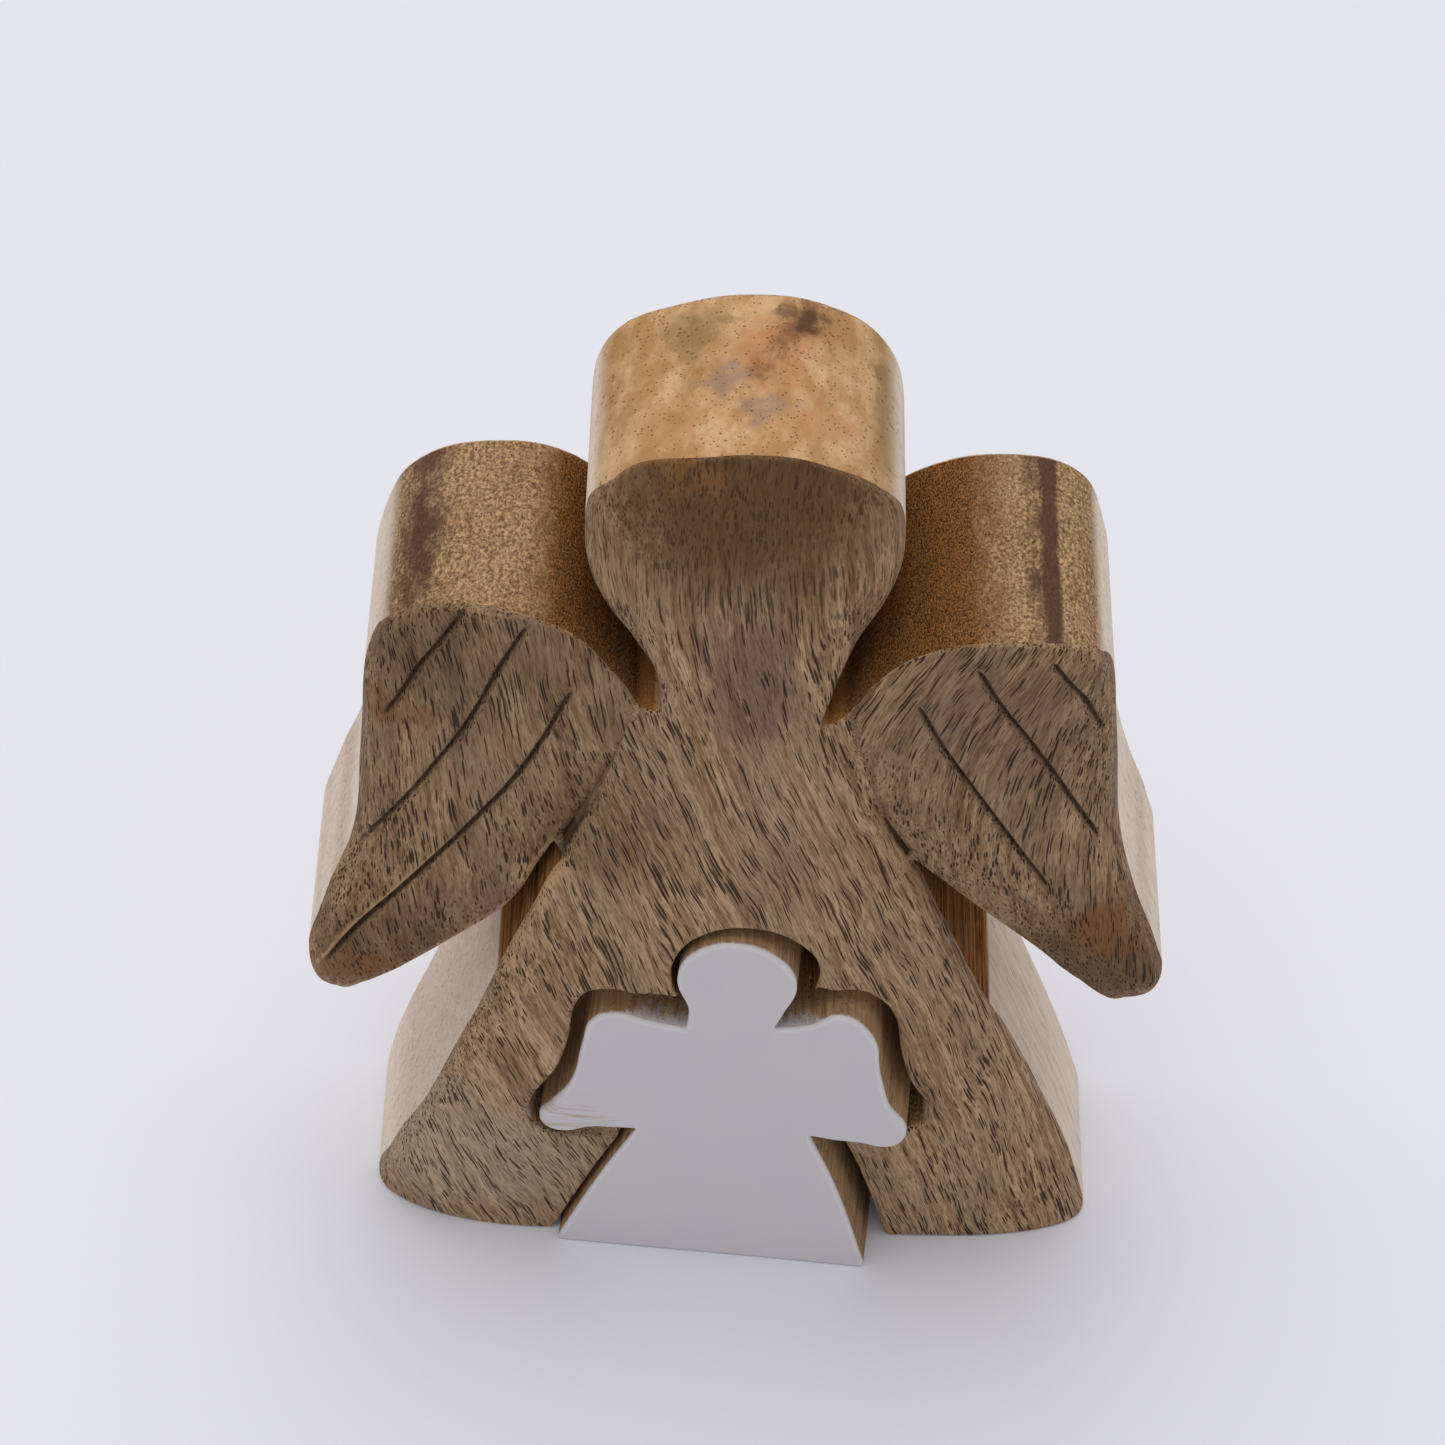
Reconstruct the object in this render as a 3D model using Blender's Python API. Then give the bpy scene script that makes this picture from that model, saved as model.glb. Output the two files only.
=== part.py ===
"""A block-cut wooden angel with a smaller painted angel nested in its skirt.

Frame: metres, +Z up, the front faces -Y. The origin lies on the surface the figure stands on,
under the middle of its bounding box.

The big angel is one piece of plank. Its outline was cut straight through from front to back, its
back stayed flat, and its front was sanded into a soft crown. The small angel was cut out of the
big one's skirt, so its pocket has nearly the same outline, wider all round by the saw cut.
"""
import math

import bmesh
import bpy
from mathutils import Matrix, Vector

MM = 0.001

# Driving dimensions, in millimetres.
BACK = 17.0                 # the flat back plane, on +Y
BLANK_FRONT = -15.0         # the front of the plank before it was crowned
BOTTOM_CROWN = -11.0        # the front on the centre line at the foot
CROWN_RISE = 2.5            # how much further forward the chest and wings stand
SIDEWAYS_TILT = 0.045       # the right wing stands this much further forward per mm of x
TILT_START, TILT_END = 40.0, 100.0
GRID = 4.0                  # spacing of the front's surface points
CUTTER_OVERRUN = 6.0        # how far the pocket's cutter reaches past the blank
SMALL_THICK = 27.0
SMALL_CENTRE = (-1.45, -1.3)
SMALL_TURN = 4.8            # degrees; its right side sits nearer the viewer
CURVE_STEPS = 4             # straight pieces in each bend of an outline

ON_PLANE = 0.01             # closer than this counts as lying in a plane
SAME_POINT = 0.01
NEAR_CUT = 0.1              # a grid cut this close to a point goes through the point
SLIGHTLY_INSIDE = 0.05      # a side this little behind a point still counts as its own
FACES_FORWARD = -0.9        # the most that the y of a front face's normal can be
IS_A_SIDE = 0.5             # the most that the y of a side face's normal can be
WOOD, WOOD_ROUGHNESS = (0.30, 0.20, 0.12), 0.62
PAINT, PAINT_ROUGHNESS = (0.62, 0.59, 0.57), 0.55

ROUND = "AUTO"
CORNER = "VECTOR"

# The big outline, from the left foot up over the head and down to the right foot.
BIG_OUTLINE = [
    (-49.0, 0.0, CORNER), (-46.8, 9.3, ROUND), (-41.6, 24.3, ROUND), (-33.0, 48.8, ROUND),
    (-22.9, 78.5, ROUND), (-21.8, 81.8, ROUND), (-23.6, 79.4, ROUND), (-28.2, 69.5, ROUND),
    (-37.6, 60.0, ROUND), (-47.6, 51.9, ROUND), (-51.6, 50.6, ROUND), (-54.4, 55.4, ROUND),
    (-52.0, 67.3, ROUND), (-47.9, 79.2, ROUND), (-46.2, 95.0, ROUND), (-43.7, 113.9, ROUND),
    (-39.3, 122.0, ROUND), (-29.6, 125.3, ROUND), (-20.6, 123.1, ROUND), (-15.6, 116.9, ROUND),
    (-12.1, 109.9, CORNER), (-9.6, 109.3, CORNER), (-10.1, 114.6, ROUND), (-13.0, 118.9, ROUND),
    (-17.2, 125.2, ROUND), (-18.4, 134.0, ROUND), (-15.6, 143.8, ROUND), (-8.1, 148.2, ROUND),
    (1.2, 150.0, ROUND), (9.3, 148.4, ROUND), (15.4, 143.7, ROUND), (18.4, 134.5, ROUND),
    (17.3, 125.3, ROUND), (13.4, 118.9, ROUND), (10.8, 113.4, ROUND), (9.2, 108.0, CORNER),
    (12.7, 111.0, CORNER), (16.2, 117.4, ROUND), (21.4, 122.2, ROUND), (31.0, 124.8, ROUND),
    (39.8, 122.3, ROUND), (43.3, 114.9, ROUND), (45.2, 101.8, ROUND), (46.9, 85.1, ROUND),
    (49.6, 73.6, ROUND), (53.5, 61.7, ROUND), (54.4, 56.2, ROUND), (50.6, 51.1, ROUND),
    (44.4, 54.6, ROUND), (38.5, 61.8, ROUND), (29.1, 71.9, ROUND), (23.4, 78.2, ROUND),
    (21.7, 79.4, ROUND), (22.4, 77.4, ROUND), (30.7, 54.0, ROUND), (39.3, 30.5, ROUND),
    (45.4, 12.6, ROUND), (49.0, 0.0, CORNER),
]

# The small outline, the same way round; x is measured from the middle of its base.
SMALL_OUTLINE = [
    (-21.2, 0.0, CORNER), (-15.3, 15.4, ROUND), (-10.0, 27.4, CORNER), (-15.0, 26.9, ROUND),
    (-21.0, 25.0, ROUND), (-23.2, 27.4, ROUND), (-21.3, 31.0, ROUND), (-18.5, 37.1, ROUND),
    (-17.1, 44.9, ROUND), (-15.5, 50.6, ROUND), (-12.6, 52.0, ROUND), (-8.6, 51.0, ROUND),
    (-3.6, 50.1, CORNER), (-3.3, 54.2, ROUND), (-4.8, 60.2, ROUND), (-2.6, 66.0, ROUND),
    (2.9, 68.5, ROUND), (8.3, 65.9, ROUND), (10.4, 60.9, ROUND), (8.9, 55.2, ROUND),
    (7.6, 51.6, CORNER), (12.2, 52.9, ROUND), (16.2, 55.6, ROUND), (20.2, 52.0, ROUND),
    (21.6, 43.9, ROUND), (23.2, 36.6, ROUND), (25.5, 30.6, ROUND), (23.8, 28.0, ROUND),
    (18.4, 28.5, ROUND), (12.7, 29.4, CORNER), (16.6, 17.8, ROUND), (21.1, 0.0, CORNER),
]

# The pocket, the same way round. It clears the small angel by about 1.6, and by more over its left
# shoulder, where the saw ran wide.
POCKET_OUTLINE = [
    (-26.4, -CUTTER_OVERRUN, CORNER), (-18.2, 16.0, ROUND), (-14.2, 25.3, CORNER),
    (-17.5, 25.0, ROUND), (-23.2, 23.4, ROUND), (-27.0, 26.6, ROUND), (-26.4, 31.8, ROUND),
    (-23.0, 39.0, ROUND), (-21.3, 46.0, ROUND), (-20.4, 52.4, ROUND), (-18.6, 55.4, ROUND),
    (-15.5, 56.2, ROUND), (-11.0, 55.2, ROUND), (-7.0, 54.6, CORNER), (-8.0, 58.6, ROUND),
    (-7.6, 63.4, ROUND), (-4.6, 68.0, ROUND), (1.4, 70.3, ROUND), (7.4, 68.0, ROUND),
    (10.6, 62.4, ROUND), (10.0, 57.4, ROUND), (9.0, 55.0, CORNER), (11.6, 56.8, ROUND),
    (15.0, 58.0, ROUND), (18.4, 56.2, ROUND), (20.5, 52.2, ROUND), (21.7, 44.2, ROUND),
    (23.3, 37.1, ROUND), (25.8, 30.9, ROUND), (24.6, 27.2, ROUND), (19.0, 26.5, ROUND),
    (13.6, 27.4, CORNER), (16.7, 18.3, ROUND), (22.9, -CUTTER_OVERRUN, CORNER),
]

# How the front's round-over falls away towards the nearest side. Each band starts at a height and
# gives fall and width on the left, then fall and width on the right.
SKIRT_ROUND_OVER = [
    (0.0, 8.6, 24.0, 5.4, 18.0),
    (12.0, 5.0, 16.0, 7.5, 14.0),
    (30.0, 2.2, 10.0, 7.0, 12.0),
    (58.0, 2.6, 10.0, 5.0, 12.0),
    (80.0, 0.8, 10.0, 4.8, 12.0),
]
WING_ROUND_OVER = [
    (50.0, 3.0, 9.0, 4.0, 9.0),
    (84.0, 5.0, 17.0, 6.0, 12.0),
    (112.0, 5.5, 17.0, 8.2, 11.0),
    (121.0, 3.2, 14.0, 3.6, 9.0),
    (126.0, 1.2, 10.0, 0.0, 9.0),
]
# Each wing's inner edge: down its root to the armpit (the first points), then out along its
# underside to the tip. The wing's face falls back towards this line, and beside the root the
# body's face does too.
WING_EDGES = {
    -1: [(-12.9, 109.5), (-15.2, 99.9), (-19.8, 87.2), (-22.0, 81.4), (-28.8, 68.6), (-38.0, 59.6),
         (-47.0, 52.4), (-52.8, 50.9)],
    1: [(13.2, 110.0), (15.0, 101.0), (18.0, 88.0), (21.8, 79.2), (30.6, 70.1), (39.4, 60.6),
        (47.0, 52.2), (52.0, 51.2)],
}
ROOT_PIECES = 3             # how many pieces of that line are root
EDGE_FALL = {-1: (3.4, 0.8), 1: (4.7, 4.8)}     # fall of the wing and of the body at the armpit
EDGE_REACH = 19.0
ROOT_REACH = 12.0
UNDER_TIP_HEIGHT = 45.0     # below both wing tips
OVER_TIP_HEIGHT = 52.0
WING_TIP_INSIDE = 42.0      # the tips lie outside this distance from the centre line
CHEST_HEIGHT = 75.0         # where the front stands furthest forward
ARMPIT_HEIGHT = 84.0        # just above the ends of the cuts under the wings
NOTCH_FLOOR = 107.0         # just below the ends of the cuts beside the neck
NOTCH_HEIGHT = 110.0
NOTCH_MIDDLE = 10.85        # how far those cuts are from the centre line there
NOTCH_LEAN = 0.55           # and how fast they move outward going up
HEAD_HEIGHT = 126.0
HEAD_STEP = 0.6             # how far the face stands behind the chest
HEAD_FALL = 7.4
HEAD_WIDTH = 9.0
HEAD_TOP_FALL = 2.6
HEAD_LEFT_TOP_FALL = 2.2    # its left top corner was sanded back further, from one distance
HEAD_LEFT_TOP_REACH = (3.0, 13.0)               # left of the centre line to another
HEAD_MIDDLE = 132.0
HEAD_RADIUS = 18.3


def smooth_step(value, start, end):
    """0 below start, 1 above end, and an even S between them."""
    part = min(max((value - start) / (end - start), 0.0), 1.0)
    return part * part * (3.0 - 2.0 * part)


def clear_scene():
    """Remove whatever the file holds before the model is built."""
    for item in list(bpy.data.objects):
        bpy.data.objects.remove(item, do_unlink=True)
    for group in list(bpy.data.collections):
        bpy.data.collections.remove(group)


def new_collection(name):
    """A collection under the scene."""
    group = bpy.data.collections.new(name)
    bpy.context.scene.collection.children.link(group)
    return group


def wood_material(name, colour, roughness):
    """A plain Principled finish."""
    material = bpy.data.materials.new(name)
    material.use_nodes = True
    shader = material.node_tree.nodes["Principled BSDF"]
    shader.inputs["Base Color"].default_value = (*colour, 1.0)
    shader.inputs["Roughness"].default_value = roughness
    shader.inputs["Metallic"].default_value = 0.0
    return material


def sawn_blank(name, points, front, back, group):
    """An outline cut straight through a plank that reaches from y=front to y=back."""
    curve = bpy.data.curves.new(name + "_outline", "CURVE")
    curve.dimensions = "2D"
    curve.fill_mode = "BOTH"
    curve.extrude = (back - front) / 2.0 * MM
    curve.resolution_u = CURVE_STEPS
    spline = curve.splines.new("BEZIER")
    spline.use_cyclic_u = True
    spline.bezier_points.add(len(points) - 1)
    for knot, (x, z, kind) in zip(spline.bezier_points, points):
        knot.co = (x * MM, z * MM, 0.0)
        knot.handle_left_type = kind
        knot.handle_right_type = kind
    outline = bpy.data.objects.new(name + "_outline", curve)
    outline.matrix_world = (Matrix.Translation((0.0, (front + back) / 2.0 * MM, 0.0))
                            @ Matrix.Rotation(math.pi / 2.0, 4, "X"))
    bpy.context.scene.collection.objects.link(outline)
    depsgraph = bpy.context.evaluated_depsgraph_get()
    mesh = bpy.data.meshes.new_from_object(outline.evaluated_get(depsgraph))
    mesh.transform(outline.matrix_world)
    mesh.name = name
    shape = bmesh.new()
    shape.from_mesh(mesh)
    bmesh.ops.remove_doubles(shape, verts=shape.verts, dist=SAME_POINT * MM)
    bmesh.ops.recalc_face_normals(shape, faces=shape.faces)
    shape.to_mesh(mesh)
    shape.free()
    bpy.data.objects.remove(outline, do_unlink=True)
    bpy.data.curves.remove(curve)
    blank = bpy.data.objects.new(name, mesh)
    group.objects.link(blank)
    return blank


def outline_polygon(shape, plane_y):
    """The straight pieces of an outline, read from the edges that lie in one flat face."""
    return [
        (edge.verts[0].co.xz / MM, edge.verts[1].co.xz / MM)
        for edge in shape.edges
        if all(abs(vert.co.y / MM - plane_y) < ON_PLANE for vert in edge.verts)
        and any(abs(face.normal.y) < IS_A_SIDE for face in edge.link_faces)
    ]


def sides_ahead(x, z, polygon):
    """Distances from a point on the front, straight outward, to each side where wood ends or starts.

    A point on the outline itself, where the wood starts, doesn't count its own side.
    """
    outward = 1.0 if x >= 0.0 else -1.0
    for level in (z - ON_PLANE, z + ON_PLANE):
        reaches = []
        for start, end in polygon:
            if (start.y - level) * (end.y - level) > 0.0 or start.y == end.y:
                continue
            crossing = start.x + (end.x - start.x) * (level - start.y) / (end.y - start.y)
            reach = (crossing - x) * outward
            if reach > -SLIGHTLY_INSIDE:
                reaches.append(max(reach, 0.0))
        if reaches:
            reaches.sort()
            return reaches[1:] if len(reaches) % 2 == 0 else reaches
    return [0.0]


def round_over(gap, fall, width):
    """A quarter ellipse: full fall at the side, none at width or further in."""
    inward = min(max(1.0 - gap / width, 0.0), 1.0)
    return fall * (1.0 - math.sqrt(max(1.0 - inward * inward, 0.0)))


def band_values(bands, x, z):
    """The round-over's fall and width at a height, on the side that x is on."""
    column = 1 if x < 0.0 else 3
    height = min(max(z, bands[0][0]), bands[-1][0])
    for lower, upper in zip(bands, bands[1:]):
        if lower[0] <= height <= upper[0]:
            share = smooth_step(height, lower[0], upper[0])
            return tuple(lower[column + part] * (1.0 - share) + upper[column + part] * share
                         for part in (0, 1))
    return bands[-1][column:column + 2]


def wing_edge_falls(x, z):
    """How far the wing's face, or the body's beside its root, falls back towards a wing's edge."""
    side = 1 if x >= 0.0 else -1
    line = [Vector(point) for point in WING_EDGES[side]]
    here = Vector((x, z))
    best = None
    for index, (start, end) in enumerate(zip(line, line[1:])):
        step = end - start
        share = min(max((here - start).dot(step) / step.length_squared, 0.0), 1.0)
        miss = here - start - step * share
        if best is None or miss.length < best[0]:
            on_wing = z < line[ROOT_PIECES].y or (step.x * miss.y - step.y * miss.x) * side > 0.0
            best = (miss.length, on_wing, index + share)
    distance, on_wing, along = best
    wing_fall, body_fall = EDGE_FALL[side]
    strength = smooth_step(along, 0.0, ROOT_PIECES)
    if on_wing:
        return strength * wing_fall * max(1.0 - distance / EDGE_REACH, 0.0) ** 2
    return round_over(distance, strength * body_fall, ROOT_REACH)


def front_of_big(x, z, polygon):
    """The crowned front of the big angel, as a y in millimetres."""
    sides = sides_ahead(x, z, polygon)
    rise = CROWN_RISE * math.sin(math.pi * min(z, NOTCH_HEIGHT) / (2.0 * CHEST_HEIGHT))
    tilt = SIDEWAYS_TILT * x * smooth_step(z, TILT_START, TILT_END)
    above_notch = z - NOTCH_HEIGHT
    if z > HEAD_HEIGHT or (z > NOTCH_FLOOR and abs(x) < NOTCH_MIDDLE + NOTCH_LEAN * above_notch):
        grip = smooth_step(z, NOTCH_HEIGHT, HEAD_HEIGHT)
        above = smooth_step(z, HEAD_MIDDLE, HEAD_MIDDLE + HEAD_RADIUS)
        fall = (HEAD_FALL * (1.0 - above) + HEAD_TOP_FALL * above) * grip
        top_fall = HEAD_TOP_FALL + HEAD_LEFT_TOP_FALL * smooth_step(-x, *HEAD_LEFT_TOP_REACH)
        face = BOTTOM_CROWN - rise - tilt * (1.0 - grip) + HEAD_STEP * grip
        return face + max(round_over(sides[0], fall, HEAD_WIDTH), top_fall * above)
    crown = BOTTOM_CROWN - rise - tilt
    under_tips = z < UNDER_TIP_HEIGHT or (z < OVER_TIP_HEIGHT and abs(x) < WING_TIP_INSIDE)
    if under_tips or (z < ARMPIT_HEIGHT and len(sides) > 1):
        return crown + round_over(sides[0], *band_values(SKIRT_ROUND_OVER, x, z))
    over_side = round_over(sides[0], *band_values(WING_ROUND_OVER, x, z))
    return crown + math.hypot(over_side, wing_edge_falls(x, z))


def crown_front(blank):
    """Cut the flat front into a grid of facets and push them back onto the crowned surface."""
    shape = bmesh.new()
    shape.from_mesh(blank.data)
    polygon = outline_polygon(shape, BACK)
    for axis in (Vector((1.0, 0.0, 0.0)), Vector((0.0, 0.0, 1.0))):
        places = [vert.co.dot(axis) / MM for vert in shape.verts]
        for step in range(math.ceil(min(places) / GRID), math.floor(max(places) / GRID) + 1):
            front = [face for face in shape.faces if face.normal.y < FACES_FORWARD]
            edges = {edge for face in front for edge in face.edges}
            verts = {vert for face in front for vert in face.verts}
            bmesh.ops.bisect_plane(shape, geom=[*front, *edges, *verts], dist=NEAR_CUT * MM,
                                   plane_co=axis * (step * GRID * MM), plane_no=axis)
    front = [face for face in shape.faces if face.normal.y < FACES_FORWARD]
    bmesh.ops.triangulate(shape, faces=front, quad_method="BEAUTY", ngon_method="BEAUTY")
    for vert in shape.verts:
        if abs(vert.co.y / MM - BLANK_FRONT) < ON_PLANE:
            vert.co.y = front_of_big(vert.co.x / MM, vert.co.z / MM, polygon) * MM
    shape.to_mesh(blank.data)
    shape.free()


def large_angel(parts, cutters):
    """The big angel: sawn, crowned, and cut through by the small one's pocket."""
    body = sawn_blank("large_angel", BIG_OUTLINE, BLANK_FRONT, BACK, parts)
    crown_front(body)
    cutter = sawn_blank("pocket_cutter", POCKET_OUTLINE, BLANK_FRONT - CUTTER_OVERRUN,
                        BACK + CUTTER_OVERRUN, cutters)
    cutter.hide_render = True
    cutter.display_type = "WIRE"
    cut = body.modifiers.new("pocket", "BOOLEAN")
    cut.operation = "DIFFERENCE"
    cut.solver = "EXACT"
    cut.object = cutter
    body.data.materials.append(wood_material("sanded_mango_wood", WOOD, WOOD_ROUGHNESS))
    return body


def small_angel(parts):
    """The small angel, which stands loose in the pocket, a little turned and slid forward."""
    body = sawn_blank("small_angel", SMALL_OUTLINE, -SMALL_THICK / 2.0, SMALL_THICK / 2.0, parts)
    body.location = (SMALL_CENTRE[0] * MM, SMALL_CENTRE[1] * MM, 0.0)
    body.rotation_euler = (0.0, 0.0, -math.radians(SMALL_TURN))
    body.data.materials.append(wood_material("white_paint", PAINT, PAINT_ROUGHNESS))
    return body


def main():
    clear_scene()
    parts = new_collection("nesting_angels")
    cutters = new_collection("cutters")
    large_angel(parts, cutters)
    small_angel(parts)


main()
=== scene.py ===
# %% [markdown]
# # A nesting pair of block-cut angels
# Two pieces of mango wood make this figure. The big angel is a length of plank: its outline was
# cut straight through with a band saw, its back was left flat, its front was sanded into a soft
# crown, and its feathers were cut with a V-shaped gouge. The small angel was sawn out of the big
# one's skirt and painted white on its front. The frame loaded here holds both as plain solids.
# This lesson builds their fine surfaces around that frame, one step in each cell.

# %% Load the frame
import math

import bpy
import numpy as np
from mathutils import Matrix, Vector
from mathutils.geometry import delaunay_2d_cdt
from mathutils.kdtree import KDTree


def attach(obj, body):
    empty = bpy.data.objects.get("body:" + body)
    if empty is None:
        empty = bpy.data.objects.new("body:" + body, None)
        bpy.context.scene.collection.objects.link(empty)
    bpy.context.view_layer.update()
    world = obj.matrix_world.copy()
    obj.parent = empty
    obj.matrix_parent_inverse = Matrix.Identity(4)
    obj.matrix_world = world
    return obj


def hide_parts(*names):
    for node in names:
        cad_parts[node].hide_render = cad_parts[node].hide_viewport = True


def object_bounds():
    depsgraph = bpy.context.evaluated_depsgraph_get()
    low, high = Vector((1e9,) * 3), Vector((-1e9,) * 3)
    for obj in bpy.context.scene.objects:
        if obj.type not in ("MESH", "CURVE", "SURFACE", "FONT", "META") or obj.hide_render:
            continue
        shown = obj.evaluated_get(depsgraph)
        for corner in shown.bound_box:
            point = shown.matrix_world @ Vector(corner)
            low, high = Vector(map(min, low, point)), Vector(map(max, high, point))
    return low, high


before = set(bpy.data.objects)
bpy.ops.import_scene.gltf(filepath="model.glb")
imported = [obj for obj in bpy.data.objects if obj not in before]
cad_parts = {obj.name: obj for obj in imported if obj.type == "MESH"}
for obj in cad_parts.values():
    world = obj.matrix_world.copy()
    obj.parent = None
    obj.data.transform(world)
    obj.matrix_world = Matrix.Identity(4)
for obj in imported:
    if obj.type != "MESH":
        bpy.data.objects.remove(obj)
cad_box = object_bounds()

MM = 0.001
print("frame size in mm:", [round((high - low) / MM, 1) for low, high in zip(*cad_box)])

# %% [markdown]
# ## Camera, floor and light
# The figure is seen from high up and close to the middle, with a long lens, so the camera comes
# first: its place and angles are plain numbers in the figure's own millimetres. The room is a
# pale sweep under a big soft light that hangs above and a little behind the figure. That lights
# the tops more than the fronts and drops a faint shadow towards the viewer.

# %% Camera
CAMERA_PLACE = Vector((-0.44, -342.8, 488.3)) * MM
CAMERA_DOWN = math.radians(49.0)
CAMERA_TURN = math.radians(0.3)
CAMERA_ROLL = math.radians(1.0)
LENS = 106.2
SENSOR = 36.0


def aim_camera():
    """A camera at CAMERA_PLACE that looks back along +Y and down, rolled a touch clockwise."""
    ahead = Vector((-math.sin(CAMERA_TURN) * math.cos(CAMERA_DOWN),
                    math.cos(CAMERA_TURN) * math.cos(CAMERA_DOWN), -math.sin(CAMERA_DOWN)))
    right = Vector((math.cos(CAMERA_TURN), math.sin(CAMERA_TURN), 0.0))
    up = right.cross(ahead)
    rolled_right = math.cos(CAMERA_ROLL) * right + math.sin(CAMERA_ROLL) * up
    rolled_up = math.cos(CAMERA_ROLL) * up - math.sin(CAMERA_ROLL) * right
    turn = Matrix((rolled_right, rolled_up, -ahead)).transposed().to_4x4()
    lens = bpy.data.cameras.new("camera")
    lens.lens = LENS
    lens.sensor_width = SENSOR
    lens.clip_start = 0.01
    lens.clip_end = 20.0
    camera = bpy.data.objects.new("camera", lens)
    camera.matrix_world = Matrix.Translation(CAMERA_PLACE) @ turn
    bpy.context.scene.collection.objects.link(camera)
    bpy.context.scene.camera = camera
    return camera


print("camera at", [round(part / MM, 1) for part in aim_camera().location])


# %% Floor
SWEEP_COLOUR = (0.80, 0.80, 0.86)
SWEEP_ROUGHNESS = 0.8


def plain_material(name, colour, roughness):
    """A one-colour finish for what isn't part of the figure."""
    material = bpy.data.materials.new(name)
    material.use_nodes = True
    shader = material.node_tree.nodes["Principled BSDF"]
    shader.inputs["Base Color"].default_value = (*colour, 1.0)
    shader.inputs["Roughness"].default_value = roughness
    return material


def pale_sweep(half_width=1.6, front=-3.0, bend=1.3, rise=1.5, steps=24):
    """A sheet that lies flat under the figure and curves up far behind it."""
    profile = [(front, 0.0), (bend, 0.0)]
    profile += [(bend + rise * math.sin(turn), rise * (1.0 - math.cos(turn)))
                for turn in np.linspace(0.0, math.pi / 2.0, steps)[1:]]
    points = [(side * half_width, y, z) for y, z in profile for side in (-1.0, 1.0)]
    faces = [(2 * k, 2 * k + 1, 2 * k + 3, 2 * k + 2) for k in range(len(profile) - 1)]
    mesh = bpy.data.meshes.new("pale_sweep")
    mesh.from_pydata(points, [], faces)
    mesh.shade_smooth()
    mesh.materials.append(plain_material("sweep_paper", SWEEP_COLOUR, SWEEP_ROUGHNESS))
    sweep = bpy.data.objects.new("pale_sweep", mesh)
    bpy.context.scene.collection.objects.link(sweep)
    return sweep


pale_sweep()
print("floor laid, sweep of", SWEEP_COLOUR)


# %% Light
SKY_STRENGTH = 0.56
SKY_COLOUR = (0.95, 0.965, 1.0)
BOX_PLACE = (-0.06, 0.14, 1.1)
BOX_AIM = (0.0, 0.02, 0.05)
BOX_SIZE = (0.95, 0.85)
BOX_POWER = 6.8
BOX_COLOUR = (1.0, 0.985, 0.96)


def soft_box(name, place, aim, size, power, colour):
    """A rectangular lamp, its size in metres, at place and pointing at aim."""
    lamp = bpy.data.lights.new(name, "AREA")
    lamp.shape = "RECTANGLE"
    lamp.size, lamp.size_y = size
    lamp.energy = power
    lamp.color = colour
    holder = bpy.data.objects.new(name, lamp)
    holder.location = place
    holder.rotation_euler = (Vector(aim) - Vector(place)).to_track_quat("-Z", "Y").to_euler()
    bpy.context.scene.collection.objects.link(holder)


def studio_sky(strength, colour):
    """An even glow from every side."""
    world = bpy.data.worlds.new("studio_sky")
    world.use_nodes = True
    glow = world.node_tree.nodes["Background"]
    glow.inputs["Color"].default_value = (*colour, 1.0)
    glow.inputs["Strength"].default_value = strength
    bpy.context.scene.world = world


studio_sky(SKY_STRENGTH, SKY_COLOUR)
soft_box("overhead_box", BOX_PLACE, BOX_AIM, BOX_SIZE, BOX_POWER, BOX_COLOUR)
bpy.context.scene.view_settings.view_transform = "Standard"
print("soft box of", BOX_POWER, "W hung", BOX_PLACE[2], "m up")

# %% [markdown]
# ## The saw line
# The saw went round each outline once, so everything else follows from that line. It needn't be
# drawn again: it is the edge of the flat back in the frame's solids. The next cells walk along
# that edge, put a smooth curve through its points, and keep the real corners sharp.

# %% Walk round the back face of a solid
ON_BACK = 0.02


def back_edge(node, turn=0.0, centre=(0.0, 0.0)):
    """A solid's saw line: its (x, z) points in mm, in order, anticlockwise from the front."""
    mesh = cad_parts[node].data
    mesh.calc_loop_triangles()
    places = np.array([vert.co for vert in mesh.vertices]) / MM - (*centre, 0.0)
    across = places[:, 0] * math.cos(turn) + places[:, 1] * math.sin(turn)
    deep = places[:, 1] * math.cos(turn) - places[:, 0] * math.sin(turn)
    on_back = deep > deep.max() - ON_BACK
    keys = [(round(float(x), 2), round(float(z), 2)) for x, z in zip(across, places[:, 2])]
    uses = {}
    for triangle in mesh.loop_triangles:
        corners = triangle.vertices
        if not all(on_back[corner] for corner in corners):
            continue
        for first, second in zip(corners, (corners[1], corners[2], corners[0])):
            edge = frozenset((keys[first], keys[second]))
            uses[edge] = uses.get(edge, 0) + 1
    neighbours = {}
    for edge, count in uses.items():
        if count == 1 and len(edge) == 2:
            one, other = edge
            neighbours.setdefault(one, []).append(other)
            neighbours.setdefault(other, []).append(one)
    walk = [min(neighbours)]
    previous, here = walk[0], neighbours[walk[0]][0]
    while here != walk[0]:
        walk.append(here)
        onward = [place for place in neighbours[here] if place != previous]
        previous, here = here, onward[0]
    line = np.array(walk)
    ahead = np.roll(line, -1, axis=0)
    area = 0.5 * np.sum(line[:, 0] * ahead[:, 1] - ahead[:, 0] * line[:, 1])
    return line if area > 0.0 else line[::-1]


SMALL_TURN = math.radians(-4.8)
SMALL_CENTRE = (-1.45, -1.3)
big_edge = back_edge("large_angel")
small_edge = back_edge("small_angel", SMALL_TURN, SMALL_CENTRE)
print("saw lines read:", len(big_edge), "and", len(small_edge), "points")


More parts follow.
